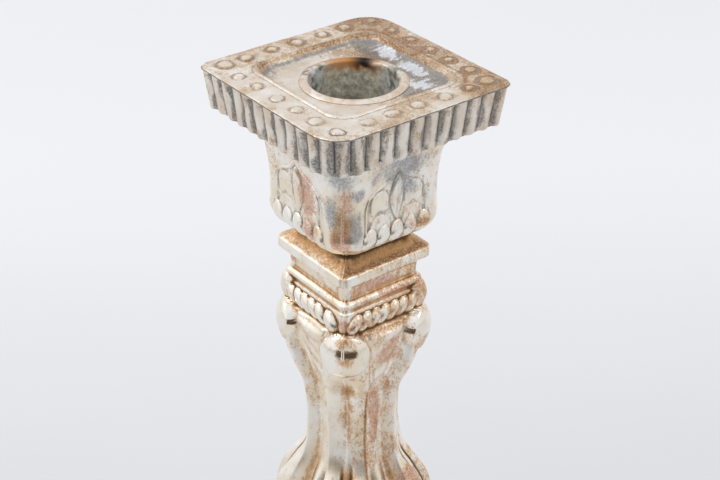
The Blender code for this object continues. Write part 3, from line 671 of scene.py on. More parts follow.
def corner_blocks(field):
    """Radius of the swelling block on the two corners of the bead band away from the seam."""
    rise = field.level - (RIM - 60.2)
    block = field.ellipsoid(field.corner_tilt, rise, 15.6, 0.0, (3.4, 3.3, 4.7), fade=0.2)
    return np.where(field.corner % 2 == 0, block, 0.0)


def dome_radius(field, middle, reach, size, drop_size):
    """Radius of an egg on each corner, fuller below its middle than above."""
    rise = field.level - middle
    tall = np.where(rise > 0.0, size[2], drop_size)
    return field.ellipsoid(field.corner_tilt, rise, reach, 0.0, (size[0], size[1], tall), fade=0.4)


def strapped(field, place, stations, face_relief, strap_relief, blend=0.45):
    """Radius of a square stem whose corners are flat straps with a channel down each face.

    A station is (place, corner distance, strap width, channel floor distance, half-width where the
    channel's wall starts, half-width where it ends). The reliefs take the distance across their face.
    The second result is 1 on and beside the channels' walls, the third is the slope where they end.
    """
    corner, strap, floor, foot, brink = (
        steady(place, [(station[0], station[column]) for station in stations]) for column in range(1, 6))
    chord = (corner + strap / 2.0) / ROOT2
    slope = np.abs(np.tan(field.tilt))
    start, end = foot / floor, brink / chord
    wall = ease(slope, start, end)
    base = floor + face_relief(field.across(floor)) * (1.0 - wall)
    side = field.on_face(base + (chord + 0.3 - base) * wall)
    flat = corner + strap_relief(corner * np.tan(field.corner_tilt))
    beside = window(slope, start - 0.14, start - 0.03, end + 0.02, end + 0.1)
    return soft_min(side, flat / np.cos(field.corner_tilt), blend), beside, end


def ribs(across, amount):
    """Flat strap breaking into two rounded ribs with a hollow each side of the seam."""
    side = np.abs(across)
    return amount * (1.3 * hump(side - 3.3, 1.9) - 1.6 * hump(side - 1.15, 1.1))


def upper_squares(field):
    """Radius of the abacus, neck and bead band above the domes."""
    depth = field.depth
    top = RIM - UPPER_HIGH[2]
    half = steady(depth, [
        (top, 10.4), (44.3, 11.3), (45.3, 12.7), (46.1, 14.1), (46.35, 14.35), (48.6, 14.4), (49.0, 14.1),
        (49.3, 12.9), (49.8, 12.4), (50.3, 12.2), (54.6, 11.9), (55.0, 12.4), (55.3, 12.75), (55.9, 12.95),
        (56.5, 12.75), (57.1, 12.4), (57.6, 12.4), (58.2, 12.8), (63.4, 12.7), (64.3, 12.4), (66.4, 12.6)])
    panel = window(depth, 50.3, 50.8, 53.9, 54.4)
    panel = panel * (1.0 - ease(np.abs(field.across(half)), 9.3, 9.9))
    corner = 1.325 * half + 0.2
    return soft_min(field.on_face(half - 0.2 * panel), corner / np.cos(field.corner_tilt), 0.35)


def build_upper_stem():
    """Baluster stem: abacus, neck, bead band, egg-headed straps, waist and upper half of the knop."""
    levels = spread((UPPER_HIGH[2], RIM - 76.0, 0.23), (RIM - 76.0, RIM - 87.0, 0.4),
                    (RIM - 87.0, RIM - 112.0, 0.8), (RIM - 112.0, UPPER_LOW[2], 0.5))
    field = Field(levels, STEM_COLUMNS)
    depth = field.depth
    bottom = RIM - UPPER_LOW[2]

    def swags(across):
        """Relief of the channel: rolled top, folds, V-shaped edge, pocket, vein and rib."""
        hang = depth + 0.08 * across ** 2
        arm = 6.4 - 5.0 * np.clip((depth - 67.0) / 20.0, 0.0, 1.0)
        near = np.abs(across) - arm
        within = 1.0 - ease(near, -1.8, 0.2)
        shown = window(hang, 70.0, 72.0, 82.0, 86.0)
        folds = 0.12 * np.cos((hang - 71.5) * math.tau / 5.0 + 0.9 * across) * shown * within
        roll = 0.9 * hump(hang - 67.8, 3.3) * within
        vee = window(depth, 70.0, 73.0, 84.0, 88.0)
        edge = vee * (0.36 * hump(near, 1.1) - 0.3 * hump(near - 1.4, 1.1))
        pocket = 0.5 * hump(depth - 88.5, 3.0) * hump(across, 2.4)
        vein = 0.3 * hump(across - 0.6, 0.5) * window(depth, 90.5, 92.0, 104.0, 107.0)
        rib = ease(depth, 108.0, 122.0) * 1.9 * hump(across, 2.3)
        return folds + roll + edge - pocket + vein + rib

    def flute(across):
        """Relief of the strap: spoon-shaped hollow above, ribs below."""
        side = np.abs(across)
        width = steady(depth, [(78.0, 4.4), (84.0, 3.8), (92.0, 2.6), (99.0, 1.4)])
        spoon = window(depth, 76.5, 84.0, 92.0, 99.0) * hump(side, width)
        return ribs(across, ease(depth, 106.0, 122.0)) - 0.8 * spoon

    straps, walls, brink = strapped(field, depth, [
        (66.0, 16.6, 4.5, 13.1, 5.4, 8.0), (67.5, 17.2, 5.0, 13.8, 5.2, 8.0),
        (71.5, 18.0, 7.0, 13.5, 4.6, 7.8), (76.0, 17.2, 8.6, 12.5, 4.2, 7.2),
        (81.0, 15.4, 9.4, 11.3, 3.4, 6.2), (87.0, 12.8, 9.7, 9.8, 2.5, 5.2),
        (93.0, 11.9, 9.7, 9.2, 2.2, 5.0), (100.0, 11.7, 9.7, 9.1, 2.2, 5.0),
        (106.0, 12.0, 9.7, 9.2, 2.3, 5.0), (111.0, 13.1, 9.7, 9.7, 2.6, 5.2),
        (116.0, 16.2, 9.7, 11.1, 3.2, 5.9), (122.0, 19.4, 9.9, 13.1, 4.4, 7.3),
        (127.0, 20.6, 10.0, 14.0, 5.0, 8.0), (133.0, 18.8, 9.0, 13.4, 5.0, 7.6),
        (bottom, 14.0, 6.0, 11.0, 4.2, 6.0)],
        face_relief=swags, strap_relief=flute)
    domes = dome_radius(field, RIM - 69.6, 14.4, (5.9, 6.9, 7.2), 8.2)
    upper = upper_squares(field)
    upper = soft_max(upper, corner_blocks(field), 0.3)
    upper = soft_max(upper, beads(field), 0.2)
    meet = ease(depth, 64.6, 65.4)
    radius = upper * (1.0 - meet) + straps * meet
    radius = soft_max(radius, domes, 0.4 + 2.6 * ease(depth, 69.0, 76.0))
    walls = walls * meet
    radius += field.seam(radius)
    radius += 0.07 * rumple(field.points(radius), 4.0) * ease(depth, 66.0, 70.0)
    inner = [(UPPER_LOW[2], ROD_HOLE), (UPPER_HIGH[2], ROD_HOLE)]
    stains = wear_and_painted_shade(
        field.points(radius),
        copper=[(11.5, -2.0, 52.5, 5.0, 16.0, 4.6), (12.0, 4.0, 57.0, 5.0, 12.0, 3.5),
                (12.5, -9.0, 62.5, 5.0, 6.0, 5.0), (12.0, 2.0, 73.0, 4.5, 9.0, 10.0),
                (9.5, 0.0, 94.0, 3.5, 3.8, 18.0), (-9.0, -12.5, 51.5, 5.0, 4.0, 3.0),
                (12.8, -11.0, 108.0, 5.0, 4.0, 7.0), (16.0, 8.0, 118.0, 7.0, 9.0, 8.0),
                (11.5, -11.5, 62.0, 5.0, 4.0, 5.0)],
        bloom_and_shade=[(12.0, 0.5, 51.8, 3.0, 1.6, 1.3), (12.0, -9.8, 53.8, 3.0, 1.2, 1.6),
               (-14.0, -14.0, 71.0, 5.0, 5.0, 2.6), (12.0, -2.2, 84.0, 3.0, 2.4, 1.6)],
        rust=[(10.0, -9.4, 84.0, 4.0, 3.6, 9.0), (12.5, 3.0, 66.6, 4.0, 10.0, 3.0),
              (11.0, -9.8, 112.0, 4.0, 4.0, 6.0), (14.8, -14.0, 70.2, 4.6, 4.0, 3.2),
              (14.0, -14.0, 65.0, 5.0, 5.0, 2.8), (8.0, -14.0, 116.0, 4.0, 5.0, 6.0),
              (17.0, 11.0, 73.0, 4.0, 4.0, 6.0), (13.0, 8.5, 116.0, 4.0, 4.0, 6.0)])
    # painted shadow: the ledge under the capital's overhang is browned, more on the right face
    ledge = 1.0 - ease(depth, 45.7, 46.3)
    on_right = 1.0 * (field.face == 0)
    stains["brown"] += (0.55 + 0.75 * on_right) * ledge
    stains["brown"] += 0.18 * on_right * window(depth, 49.0, 50.5, 65.0, 67.0)
    # painted shadow: a brown line along the near strap's edge on the right face, below depth 82
    near_face = (field.face == 0) & (field.tilt < 0.0)
    painted_shadow_line = hump(np.abs(np.tan(field.tilt)) - brink, 0.045) * near_face
    stains["brown"] += 1.1 * painted_shadow_line * ease(depth, 82.0, 86.0)
    stains["shine"] = ease(domes - straps, -0.2, 0.5) * ease(depth, 62.0, 63.5)
    stains["shine"] = np.maximum(stains["shine"], 0.45 * window(depth, 57.5, 58.2, 64.5, 65.0))
    stains["brown"] -= 0.12 * stains["shine"]
    stains["pink"] -= 0.15 * stains["shine"]
    gain = (1.1 + 0.35 * ease(depth, 106.0, 114.0)) * (1.0 - 0.75 * walls)
    under_dome = hump(depth - 77.0, 3.5) * ease(hump(field.corner_tilt, 0.4), 0.1, 0.5)
    piece = cast_shell("upper_stem_casting", field, radius, inner, stains, gain * (1.0 - 0.9 * under_dome))
    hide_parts("upper_stem")
    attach(piece, "candlestick")
    return piece


def build_lower_stem():
    """Lower baluster, strapped like the upper one and ribbed at both ends."""
    low, high = LOWER_LOW[2], LOWER_HIGH[2]
    field = Field(spread((high, low, 0.42)), STEM_COLUMNS)
    level = field.level
    down = high - level

    def folds(across):
        """Relief of the channel: folds, their edges and a vein."""
        hang = down + 0.08 * across ** 2
        shown = window(hang, 6.0, 8.0, 20.0, 24.0)
        arm = 5.0 - 3.4 * np.clip((down - 6.0) / 22.0, 0.0, 1.0)
        near = np.abs(across) - arm
        vee = window(down, 6.0, 9.0, 27.0, 30.0)
        swag = 0.34 * np.cos((hang - 8.0) * math.tau / 3.0) * shown * (1.0 - ease(near, -0.6, 0.0))
        swag += vee * (0.5 * hump(near, 0.7) - 0.5 * hump(near - 1.0, 0.8))
        return swag + 0.35 * hump(across, 0.5) * ease(down, 30.0, 34.0)

    radius, walls, _ = strapped(field, level, [
        (low, 14.4, 8.0, 11.2, 3.8, 5.4), (52.0, 12.8, 8.6, 9.8, 3.2, 4.9), (66.0, 15.4, 9.2, 11.2, 3.4, 5.2),
        (84.0, 18.6, 9.6, 13.4, 4.8, 7.0), (93.0, 16.6, 8.6, 12.4, 5.0, 6.8),
        (high, 14.2, 7.0, 11.4, 5.0, 6.6)],
        face_relief=folds, strap_relief=lambda across: ribs(across, 0.8 * window(down, 1.0, 6.0, 18.0, 30.0)))
    radius += field.seam(radius)
    radius += 0.06 * rumple(field.points(radius), 4.5)
    piece = cast_shell("lower_stem_casting", field, radius, [(low, ROD_HOLE), (high, ROD_HOLE)],
                       wear_and_painted_shade(field.points(radius)), 1.1 - 0.85 * walls)
    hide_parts("lower_stem")
    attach(piece, "candlestick")
    return piece


def build_collar(name, node, reeds):
    """Half-round ring with slanting reeds, like a rope."""
    low, high = extent(node)
    count = reeds * 10
    turns = np.arange(count) * math.tau / count
    half_height = (high[2] - low[2]) / 2.0
    middle = (high[2] + low[2]) / 2.0
    centre = high[0] - half_height
    rings, heights = [], []
    for bend in np.linspace(QUARTER, -QUARTER, 31):
        phase = reeds * turns + 1.6 * bend
        groove = 0.32 * (1.0 - np.abs(np.sin(phase / 2.0))) ** 2 * math.cos(bend)
        bulge = half_height - groove
        level = middle + half_height * math.sin(bend)
        rings.append(round_ring(turns, level, centre + bulge * math.cos(bend)))
        heights.append(-groove)
    for level in (low[2], high[2]):
        rings.append(round_ring(turns, level, ROD_HOLE))
        heights.append(np.full(count, -0.3))
    rings = np.array(rings)
    hollow = np.clip(np.array(heights) * -3.6 - 0.25, -1.0, 1.0)
    piece = closed_grid(name, rings, hollow, wear_and_painted_shade(rings))
    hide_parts(node)
    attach(piece, "candlestick")
    return piece


# --- foot

FOOT_COLUMNS = 480
GADROONS_PER_SIDE = 9
BASE_CORNER = 3.0
FELT_EDGE = 0.25


def build_foot_dome():
    """Square foot that sweeps from the lower collar out to the plinth, with gadroons on its skirt."""
    profile = [(0.0, 35.7, 12.4, 16.0), (2.6, 33.4, 13.4, 17.4), (11.0, 28.0, 20.0, 26.0),
               (25.0, 22.0, 33.0, 43.5), (32.5, 19.0, 39.6, 53.0), (34.8, 17.0, 40.4, 54.2)]
    travel = np.linspace(0.0, profile[-1][0], 120)
    level, half, corner = (steady(travel, [(p[0], p[column]) for p in profile]) for column in (1, 2, 3))
    field = Field(level, FOOT_COLUMNS)
    half = half[:, None]
    corner = corner[:, None]
    way = travel[:, None]
    fan = np.tan(field.from_seam)
    phase = (fan * GADROONS_PER_SIDE / 2.0 + 0.5) % 1.0
    crown = round_top(2.0 * phase - 1.0)
    start = 9.0 + 3.0 * np.abs(fan)
    shown = window(way, start, start + 6.0, 28.6 + 0.8 * crown, 29.2 + 0.8 * crown)
    relief = (1.1 * crown - 1.0) * shown
    relief += 0.5 * hump(way - 31.2, 0.9) - 0.4 * hump(way - 30.0, 0.6)
    relief += 0.5 * hump(way - 8.0, 1.0)
    radius = soft_min(field.on_face(half), corner / np.cos(field.corner_tilt), 0.6)
    relief += hump(radius * np.sin(field.corner_tilt), 1.5) * 0.5 * ease(way, 2.0, 6.0)
    relief += field.seam(radius)
    slope_out = np.gradient(half[:, 0], travel)[:, None]
    slope_down = np.gradient(level, travel)[:, None]
    length = np.hypot(slope_out, slope_down)
    points = field.points(radius - relief * slope_down / length)
    points[..., 2] += relief * slope_out / length
    hollow = hollows(relief + 0.0 * radius, travel, 0.3)
    inside = [(17.0, 36.0), (19.0, 34.0), (24.0, 24.0), (32.0, 9.0), (35.7, ROD_HOLE)]
    rings = np.concatenate([points, field.inner_rings(inside)])
    hollow = np.concatenate([hollow, np.ones((len(inside), len(field.turns)))])
    piece = closed_grid("foot_casting", rings, hollow, wear_and_painted_shade(rings))
    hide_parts("foot_dome")
    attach(piece, "candlestick")
    return piece


def build_plinth():
    """Square base rim with the same reeds and round ends as the drip pan's skirt."""
    reeds, reed_steps = 20, 8
    per_side = reeds * reed_steps
    outline = [(41.6, 16.7), (42.4, 15.9), (42.6, 14.6), (45.6, 14.0), (46.6, 13.0), (46.9, 12.2),
               (48.0, 4.2), (49.0, 3.4), (49.0, 0.8)]
    rings, heights = [], []
    reed = (np.arange(4 * per_side) / reed_steps) % 1.0
    crown = round_top(2.0 * reed - 1.0)
    for (half_a, level_a), (half_b, level_b) in zip(outline[:-1], outline[1:]):
        steps = max(3, int(math.hypot(half_b - half_a, level_b - level_a) / 0.25))
        for t in np.arange(steps) / steps:
            half = half_a + (half_b - half_a) * t
            level = level_a + (level_b - level_a) * t
            flat, normal = rounded_square(half, BASE_CORNER, BASE_CORNER, per_side)
            nip = 0.9 * (1.0 - crown)
            body = window(level, 4.6 + nip, 5.0 + nip, 11.6 - nip, 12.0 - nip)
            sunk = 0.5 * window(level, 4.3, 4.5, 12.0, 12.2)
            offset = -sunk * (1.0 - body) - 0.8 * (1.0 - crown) ** 1.2 * body
            rings.append(np.column_stack([flat + normal * offset[:, None], np.full(len(flat), level)]))
            heights.append(offset)
    inside = [(49.0, 0.8), (45.6, 0.8), (45.6, 3.0), (43.0, 3.0), (43.0, 13.5), (36.0, 13.5), (36.0, 16.7)]
    for half, level in inside:
        rings.append(square_ring(half, BASE_CORNER, BASE_CORNER, per_side, level))
        heights.append(np.zeros(4 * per_side))
    rings = np.array(rings)
    hollow = hollows(np.array(heights), np.arange(len(rings)) * 0.25, 0.45)
    piece = closed_grid("plinth_casting", rings, hollow, wear_and_painted_shade(rings))
    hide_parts("base_plinth")
    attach(piece, "candlestick")
    return piece


def build_felt():
    """Thin felt pad glued under the base, with a soft uneven edge."""
    low, high = extent("felt_pad")
    per_side = 40
    rings = []
    outwards, inwards = np.linspace(0.04, 1.0, 40), np.linspace(1.0, 0.04, 40)
    for face, inward, shares in ((high[2], -FELT_EDGE, outwards), (low[2], FELT_EDGE, inwards)):
        for share in shares:
            level = face + inward * ease(share, 0.96, 1.0)
            corner = BASE_CORNER * share
            rings.append(square_ring(high[0] * share, corner, corner, per_side, level))
    rings = np.array(rings)
    fuzz = 0.06 * rumple(rings, 0.9)
    rings[..., 2] -= np.where(rings[..., 2] > 0.7, np.abs(fuzz), -np.abs(fuzz))
    rings[38:42, :, :2] *= (1.0 - 0.003 * np.abs(rumple(rings[38:42], 1.7)))[..., None]
    piece = closed_grid("felt_mat", rings[::-1], np.zeros(rings.shape[:2]), capped=True)
    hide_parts("felt_pad")
    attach(piece, "candlestick")
    return piece


# --- wear

def wear_and_painted_shade(points, copper=(), bloom_and_shade=(), rust=()):
    """Stains and painted shade over a grid of points: brown and pink where copper shows, grey where silver
    dulls, and more brown and pink on faces turned away from the window lamp as painted shade.

    copper, bloom_and_shade and rust list spots (x, y, depth and three reaches) where pink, grey or brown is
    strongest; some of the callers' spots are painted shade.
    """
    coarse = rumple(points, 7.0, 1.5)
    fine = rumple(points, 2.3, 4.2)
    streak = rumple(points * np.array([1.0, 1.0, 0.4]), 1.6, 2.7)
    ragged = 0.5 * fine + 0.5 * streak
    # painted shade: faces turned toward the camera's right, away from the window lamp, get more brown and
    # pink
    shaded_side = (0.6 * points[..., 0] + 0.8 * points[..., 1]) / np.hypot(points[..., 0], points[..., 1])
    stains = {
        "brown": 0.42 + 0.24 * coarse + 0.34 * ragged + 0.1 * shaded_side,
        "pink": 0.2 - 0.2 * coarse + 0.3 * ragged + 0.16 * shaded_side,
        "grey": 0.05 + 0.3 * rumple(points, 6.0, 9.4) + 0.15 * ragged,
    }
    for label, spots in (("pink", copper), ("grey", bloom_and_shade), ("brown", rust)):
        for x, y, depth, *reach in spots:
            near = spot(points, (x, y, RIM - depth), reach)
            stains[label] = np.maximum(stains[label], 1.2 * near + 0.35 * ragged)
    stains["flake_and_highlight"] = 0.0 * coarse
    stains["shine"] = 0.3 + 0.0 * coarse
    return stains


# --- materials

class Graph:
    """Short way to wire the nodes of a material or a world."""

    def __init__(self, owner, shader="Principled BSDF", place="Object"):
        owner.use_nodes = True
        self.material = owner
        self.nodes = owner.node_tree.nodes
        self.links = owner.node_tree.links
        self.shader = self.nodes[shader]
        self.place = self.nodes.new("ShaderNodeTexCoord").outputs[place]

    def feed(self, socket, value):
        """Link a socket to a socket, or set it to a number or colour."""
        if isinstance(value, bpy.types.NodeSocket):
            self.links.new(value, socket)
        elif isinstance(value, tuple):
            socket.default_value = (*value, 1.0)
        else:
            socket.default_value = value

    def noise(self, size, detail=4.0, roughness=0.55, stretch=None):
        """Noise with features of about size millimetres, centred on 0.5."""
        node = self.nodes.new("ShaderNodeTexNoise")
        node.inputs["Scale"].default_value = 1.0 / (size * MM)
        node.inputs["Detail"].default_value = detail
        node.inputs["Roughness"].default_value = roughness
        place = self.place
        if stretch is not None:
            mapping = self.nodes.new("ShaderNodeMapping")
            mapping.inputs["Scale"].default_value = stretch
            self.links.new(place, mapping.inputs["Vector"])
            place = mapping.outputs["Vector"]
        self.links.new(place, node.inputs["Vector"])
        return node.outputs["Fac"]

    def along(self, way):
        """How far the place lies in a direction."""
        node = self.nodes.new("ShaderNodeVectorMath")
        node.operation = "DOT_PRODUCT"
        self.links.new(self.place, node.inputs[0])
        node.inputs[1].default_value = way
        return node.outputs["Value"]

    def attribute(self, name):
        """Value that the mesh keeps per point under a name."""
        node = self.nodes.new("ShaderNodeAttribute")
        node.attribute_name = name
        return node.outputs["Fac"]

    def math(self, operation, a, b, clamp=False):
        """Result of a two-value operation."""
        node = self.nodes.new("ShaderNodeMath")
        node.operation = operation
        node.use_clamp = clamp
        self.feed(node.inputs[0], a)
        self.feed(node.inputs[1], b)
        return node.outputs[0]

    def add(self, a, b, share, clamp=False):
        """a plus a share of b."""
        return self.math("ADD", a, self.math("MULTIPLY", b, share), clamp)

    def remap(self, value, low, high, to_low=0.0, to_high=1.0):
        """Smooth step of a value from one range to another."""
        node = self.nodes.new("ShaderNodeMapRange")
        node.interpolation_type = "SMOOTHSTEP"
        self.feed(node.inputs["Value"], value)
        for label, end in (("From Min", low), ("From Max", high), ("To Min", to_low), ("To Max", to_high)):
            node.inputs[label].default_value = end
        return node.outputs["Result"]

    def mix(self, factor, a, b):
        """Colour between a and b."""
        node = self.nodes.new("ShaderNodeMix")
        node.data_type = "RGBA"
        self.feed(node.inputs[0], factor)
        self.feed(node.inputs[6], a)
        self.feed(node.inputs[7], b)
        return node.outputs[2]

    def bump(self, height, distance, strength):
        """Fine relief of a depth in millimetres."""
        node = self.nodes.new("ShaderNodeBump")
        node.inputs["Strength"].default_value = strength
        node.inputs["Distance"].default_value = distance * MM
        self.links.new(height, node.inputs["Height"])
        self.links.new(node.outputs["Normal"], self.shader.inputs["Normal"])

    def set(self, **values):
        """Feed the shader's inputs by short names."""
        names = {"colour": "Base Color", "roughness": "Roughness", "metallic": "Metallic",
                 "sheen": "Sheen Weight"}
        for key, value in values.items():
            self.feed(self.shader.inputs[names[key]], value)


CREAM_SILVER = (0.96, 0.93, 0.86)
WARM_SILVER = (0.91, 0.81, 0.65)
BEIGE = (0.74, 0.64, 0.52)
PALE_BEIGE = (0.86, 0.81, 0.74)
GOLD_TAN = (0.66, 0.38, 0.17)
OLIVE_TAN = (0.56, 0.39, 0.23)
COPPER = (0.66, 0.37, 0.25)
RUST = (0.28, 0.13, 0.04)
DARK_BROWN = (0.08, 0.042, 0.017)
SLATE = (0.30, 0.29, 0.275)
BLACK_SLATE = (0.07, 0.068, 0.065)
DULL_GREY = (0.33, 0.345, 0.37)
SMOKE_GREY = (0.19, 0.175, 0.16)
PEWTER = (0.42, 0.37, 0.30)
FLAKE_AND_HIGHLIGHT_WHITE = (0.80, 0.83, 0.87)


def silver(name, clean=CREAM_SILVER, warm=WARM_SILVER, bright=1.0, roughness=0.4, tan_colour=GOLD_TAN,
           bloom_and_shade=DULL_GREY, creases=(GOLD_TAN, DARK_BROWN)):
    """Worn silver plate: clean metal, tan and copper blotches, grey bloom, white flakes, dark recesses; the
    brown, rust and grey also carry painted shade, and the white painted highlights, where the attributes put
    them.
    """
    g = Graph(bpy.data.materials.new(name))
    blotch = g.noise(1.3, 9.0, 0.78, stretch=(1.0, 1.0, 0.55))
    speck = g.noise(0.5, 6.0, 0.78)
    grain = g.noise(0.45, 4.0, 0.7, stretch=(1.0, 1.0, 0.7))
    cloud = g.noise(7.0, 5.0)
    ragged = g.math("SUBTRACT", g.add(blotch, speck, 0.6), 0.8)
    broken = g.remap(g.math("ADD", speck, grain), 0.85, 1.15, 0.5, 1.0)

    def patch(label, low, high, uneven=2.2):
        """Where a stain shows, broken up by the grain."""
        return g.math("MULTIPLY", g.remap(g.add(g.attribute(label), ragged, uneven), low, high), broken)

    colour = g.mix(g.remap(cloud, 0.35, 0.65), clean, warm)
    tan = patch("brown", 0.35, 0.9)
    colour = g.mix(tan, colour, tan_colour)
    rosy = patch("pink", 0.4, 1.0, 2.0)
    colour = g.mix(rosy, colour, COPPER)
    rust = patch("brown", 0.8, 1.6)
    colour = g.mix(rust, colour, RUST)
    # the grey also draws painted shade high on the capital, under the pan's skirt
    haze_and_shade = patch("grey", 0.3, 1.2, 1.5)
    colour = g.mix(haze_and_shade, colour, bloom_and_shade)
    recess = g.math("ADD", g.attribute("hollow"), ragged)
    colour = g.mix(g.remap(recess, 0.1, 0.45, 0.0, 0.85), colour, creases[0])
    dark = g.remap(recess, 0.35, 1.0, 0.0, 0.9)
    colour = g.mix(dark, colour, creases[1])
    # the white draws flakes on the pan's panel and painted highlights on the stud tops
    flake_and_highlight = patch("flake_and_highlight", 0.4, 0.65)
    colour = g.mix(flake_and_highlight, colour, FLAKE_AND_HIGHLIGHT_WHITE)
    film = g.math("MAXIMUM", g.math("MAXIMUM", rust, haze_and_shade), g.math("MAXIMUM", dark, flake_and_highlight))
    worn = g.add(roughness, g.attribute("shine"), -0.3)
    rough = g.add(worn, g.math("MAXIMUM", film, tan), 0.2, clamp=True)
    g.set(colour=colour, metallic=g.add(bright, film, -0.4, clamp=True), roughness=rough)
    g.bump(g.add(g.noise(0.8, 4.0, 0.6), grain, 0.5), 0.08, 0.5)
    return g.material


def plain_metal(name, colour, dark, roughness):
    """Turned or rolled metal with fine marks and dull patches."""
    g = Graph(bpy.data.materials.new(name))
    patch = g.remap(g.noise(4.0, 5.0, 0.6), 0.4, 0.7)
    g.set(colour=g.mix(patch, colour, dark), metallic=1.0,
          roughness=g.remap(g.noise(0.6, 4.0), 0.3, 0.7, roughness - 0.08, roughness + 0.12))
    g.bump(g.noise(0.5, 3.0, 0.5, stretch=(1.0, 1.0, 6.0)), 0.03, 0.4)
    return g.material


def plaster_material():
    """Cast plaster with small pits."""
    g = Graph(bpy.data.materials.new("plaster_fill"))
    g.set(colour=g.mix(g.noise(3.0), (0.78, 0.76, 0.71), (0.62, 0.59, 0.53)), roughness=0.9, metallic=0.0)
    g.bump(g.noise(0.7, 6.0, 0.7), 0.2, 0.8)
    return g.material


def felt_material():
    """Green baize: matted fibres over mottled colour."""
    g = Graph(bpy.data.materials.new("green_felt"))
    fibres = g.noise(0.35, 8.0, 0.75)
    g.set(colour=g.mix(fibres, (0.02, 0.09, 0.05), (0.06, 0.17, 0.10)),
          roughness=0.95, metallic=0.0, sheen=0.5)
    g.bump(fibres, 0.15, 0.9)
    return g.material


def cup_material():
    """Candle cup: lip in the pan's finish, inside dull grey with soot, rust and pale patches that are painted
    highlights.
    """
    g = Graph(bpy.data.materials.new("cup_metal"))
    mottle = g.noise(1.6, 6.0, 0.7)
    cloud = g.noise(6.0, 3.0)
    lip = g.mix(g.remap(cloud, 0.35, 0.65), PALE_BEIGE, BEIGE)
    lip = g.mix(g.remap(mottle, 0.45, 0.65, 0.0, 0.6), lip, GOLD_TAN)
    inner = g.mix(g.remap(mottle, 0.35, 0.65), (0.36, 0.34, 0.27), (0.76, 0.73, 0.62))
    colour = g.mix(g.attribute("inside"), lip, inner)
    colour = g.mix(g.attribute("brown"), colour, (0.60, 0.27, 0.085))
    colour = g.mix(g.attribute("soot"), colour, (0.015, 0.011, 0.008))
    # pale bluish patches from the flake_and_highlight attribute: painted highlights
    colour = g.mix(g.math("MULTIPLY", g.attribute("flake_and_highlight"), 0.8), colour, (0.62, 0.66, 0.68))
    g.set(colour=colour, metallic=g.remap(g.attribute("inside"), 0.0, 1.0, 0.8, 0.3),
          roughness=g.remap(mottle, 0.3, 0.7, 0.5, 0.3))
    g.bump(mottle, 0.12, 0.6)
    return g.material


def dress(piece, material):
    """Give an object one material."""
    slots = piece.material_slots
    if slots:
        for material_slot in slots:
            material_slot.link = "OBJECT"
            material_slot.material = material
    else:
        piece.data.materials.append(material)


# --- studio

CAMERA_AZIMUTH = math.radians(52.15)
CAMERA_ELEVATION = math.radians(30.703)
CAMERA_ROLL = math.radians(0.333)
CAMERA_DISTANCE = 405.5
CAMERA_SIDESTEP = 1.646
AIM_DEPTH = 46.28


def make_camera():
    """Camera above the nearest seam corner, looking down at the upper stem."""
    turn, rise = CAMERA_AZIMUTH, CAMERA_ELEVATION
    back = Vector((math.sin(turn) * math.cos(rise), -math.cos(turn) * math.cos(rise), math.sin(rise)))
    right = Vector((math.cos(turn), math.sin(turn), 0.0))
    up = back.cross(right)
    data = bpy.data.cameras.new("camera")
    data.lens = 80.0
    data.sensor_width = 36.0
    camera = add_object("camera", data)
    place = Vector((0.0, 0.0, RIM - AIM_DEPTH)) + back * CAMERA_DISTANCE + right * CAMERA_SIDESTEP
    facing = Matrix((right, up, back)).transposed() @ Matrix.Rotation(CAMERA_ROLL, 3, "Z")
    camera.matrix_world = Matrix.Translation(place * MM) @ facing.to_4x4()
    bpy.context.scene.camera = camera
    return back, right


def make_floor(back):
    """Pale paper floor, painted darker near the candlestick and brighter far behind it as a painted falloff
    of the light.
    """
    reach = 6.0
    floor = add_quad("floor", [(x * reach, y * reach, 0) for x, y in ((-1, -1), (1, -1), (1, 1), (-1, 1))])
    g = Graph(bpy.data.materials.new("floor_paper"))
    # painted light: the floor's own colour runs from darker near the candlestick to brighter far behind it
    painted_light_falloff = g.remap(g.along((-back.x, -back.y, 0.0)), 0.08, 0.38)
    colour = g.mix(painted_light_falloff, (0.70, 0.708, 0.722), (0.865, 0.87, 0.89))
    g.set(colour=g.mix(g.remap(g.noise(200.0, 2.0), 0.3, 0.7, 0.0, 0.1), colour, (0.92, 0.92, 0.93)),
          roughness=0.9, metallic=0.0)
    g.shader.inputs["Specular IOR Level"].default_value = 0.1
    dress(floor, g.material)


def make_black_card(back, right):
    """Dark card standing in front, seen only as a reflection in the polished domes."""
    reach, half, foot, top = 0.34, 0.27, 0.0, 0.19
    flat_back = Vector((back.x, back.y, 0.0)).normalized()
    corners = [flat_back * reach + right * side + Vector((0.0, 0.0, level)) for side, level in
               ((-half, foot), (half, foot), (half, top), (-half, top))]
    card = add_quad("black_card", [tuple(corner) for corner in corners])
    g = Graph(bpy.data.materials.new("card_paper"))
    g.set(colour=g.mix(g.noise(20.0, 2.0), (0.05, 0.03, 0.012), (0.12, 0.075, 0.035)),
          roughness=0.9, metallic=0.0)
    dress(card, g.material)
    card.visible_camera = False
    card.visible_diffuse = False
    card.visible_shadow = False


def area_light(name, place, target, size, power, colour):
    """Round lamp that faces a target."""
    data = bpy.data.lights.new(name, "AREA")
    data.shape = "DISK"
    data.size = size
    data.energy = power
    data.color = colour
    lamp = add_object(name, data)
    lamp.location = place
    lamp.rotation_mode = "QUATERNION"
    lamp.rotation_quaternion = (Vector(place) - Vector(target)).to_track_quat("Z", "Y")


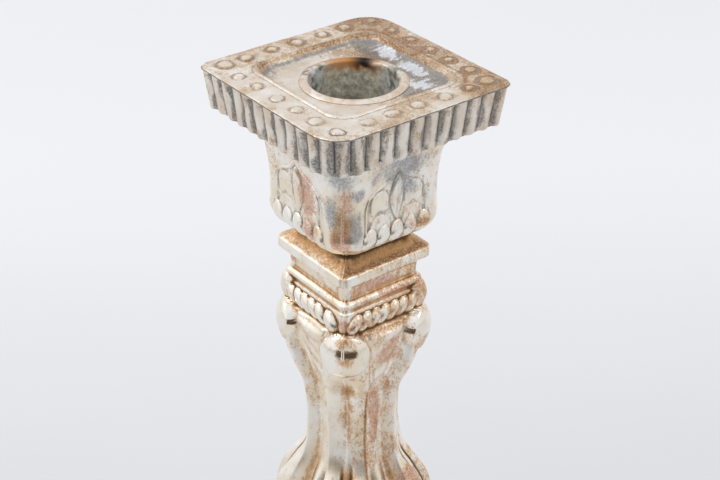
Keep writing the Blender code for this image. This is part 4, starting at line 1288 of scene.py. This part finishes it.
def make_light(back, right):
    """Soft white surroundings, darker towards the front and the right, and two lamps."""
    scene = bpy.context.scene
    scene.view_settings.view_transform = "Standard"
    scene.world = bpy.data.worlds.new("studio")
    g = Graph(scene.world, "Background", "Generated")
    front = g.remap(g.along(Vector((back.x, back.y, 0.1)).normalized()), 0.7, 0.95, 1.0, 0.84)
    sideways = g.remap(g.along(right.normalized()), -0.6, 1.0, 1.0, 0.86)
    seen = g.nodes.new("ShaderNodeLightPath").outputs["Is Camera Ray"]
    g.feed(g.shader.inputs["Color"], (0.945, 0.95, 0.975))
    g.feed(g.shader.inputs["Strength"], g.math("MAXIMUM", g.math("MULTIPLY", front, sideways), seen))
    target = Vector((0.0, 0.0, (RIM - 50.0) * MM))
    high_left = target - right * 0.75 + back * 0.15 + Vector((0.0, 0.0, 0.75))
    high_right = target + right * 0.7 + back * 0.3 + Vector((0.0, 0.0, 0.6))
    area_light("window", high_left, target, 0.45, 2.6, (1.0, 0.98, 0.95))
    area_light("right_lamp", high_right, target, 0.3, 0.9, (1.0, 0.98, 0.96))


# --- scene

back_way, right_way = make_camera()
make_floor(back_way)
make_black_card(back_way, right_way)
make_light(back_way, right_way)

stem_silver = silver("stem_plate")
capital_silver = silver("capital_plate", creases=(PEWTER, BLACK_SLATE))
pan_silver = silver("pan_plate", PALE_BEIGE, BEIGE, 0.8, 0.48, OLIVE_TAN, SMOKE_GREY, (SLATE, BLACK_SLATE))
foot_silver = silver("foot_plate")
dress(build_drip_pan(), pan_silver)
dress(build_candle_cup(), cup_material())
dress(build_capital(), capital_silver)
dress(build_upper_stem(), stem_silver)
dress(build_lower_stem(), stem_silver)
dress(build_collar("knop_ring", "knop_collar", KNOP_RING_REEDS), stem_silver)
dress(build_collar("foot_ring", "foot_collar", FOOT_RING_REEDS), stem_silver)
dress(build_foot_dome(), foot_silver)
dress(build_plinth(), foot_silver)
dress(build_felt(), felt_material())

brass = plain_metal("sleeve_brass_worn", (0.72, 0.52, 0.24), (0.42, 0.28, 0.13), 0.35)
steel = plain_metal("rod_steel", (0.55, 0.55, 0.56), (0.30, 0.27, 0.24), 0.4)
plaster = plaster_material()
dress(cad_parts["socket_sleeve"], brass)
dress(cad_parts["ballast"], plaster)
for node in ("tie_rod", "top_nut", "top_washer", "anchor_bar", "base_washer", "base_nut", "base_plate"):
    dress(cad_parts[node], steel)
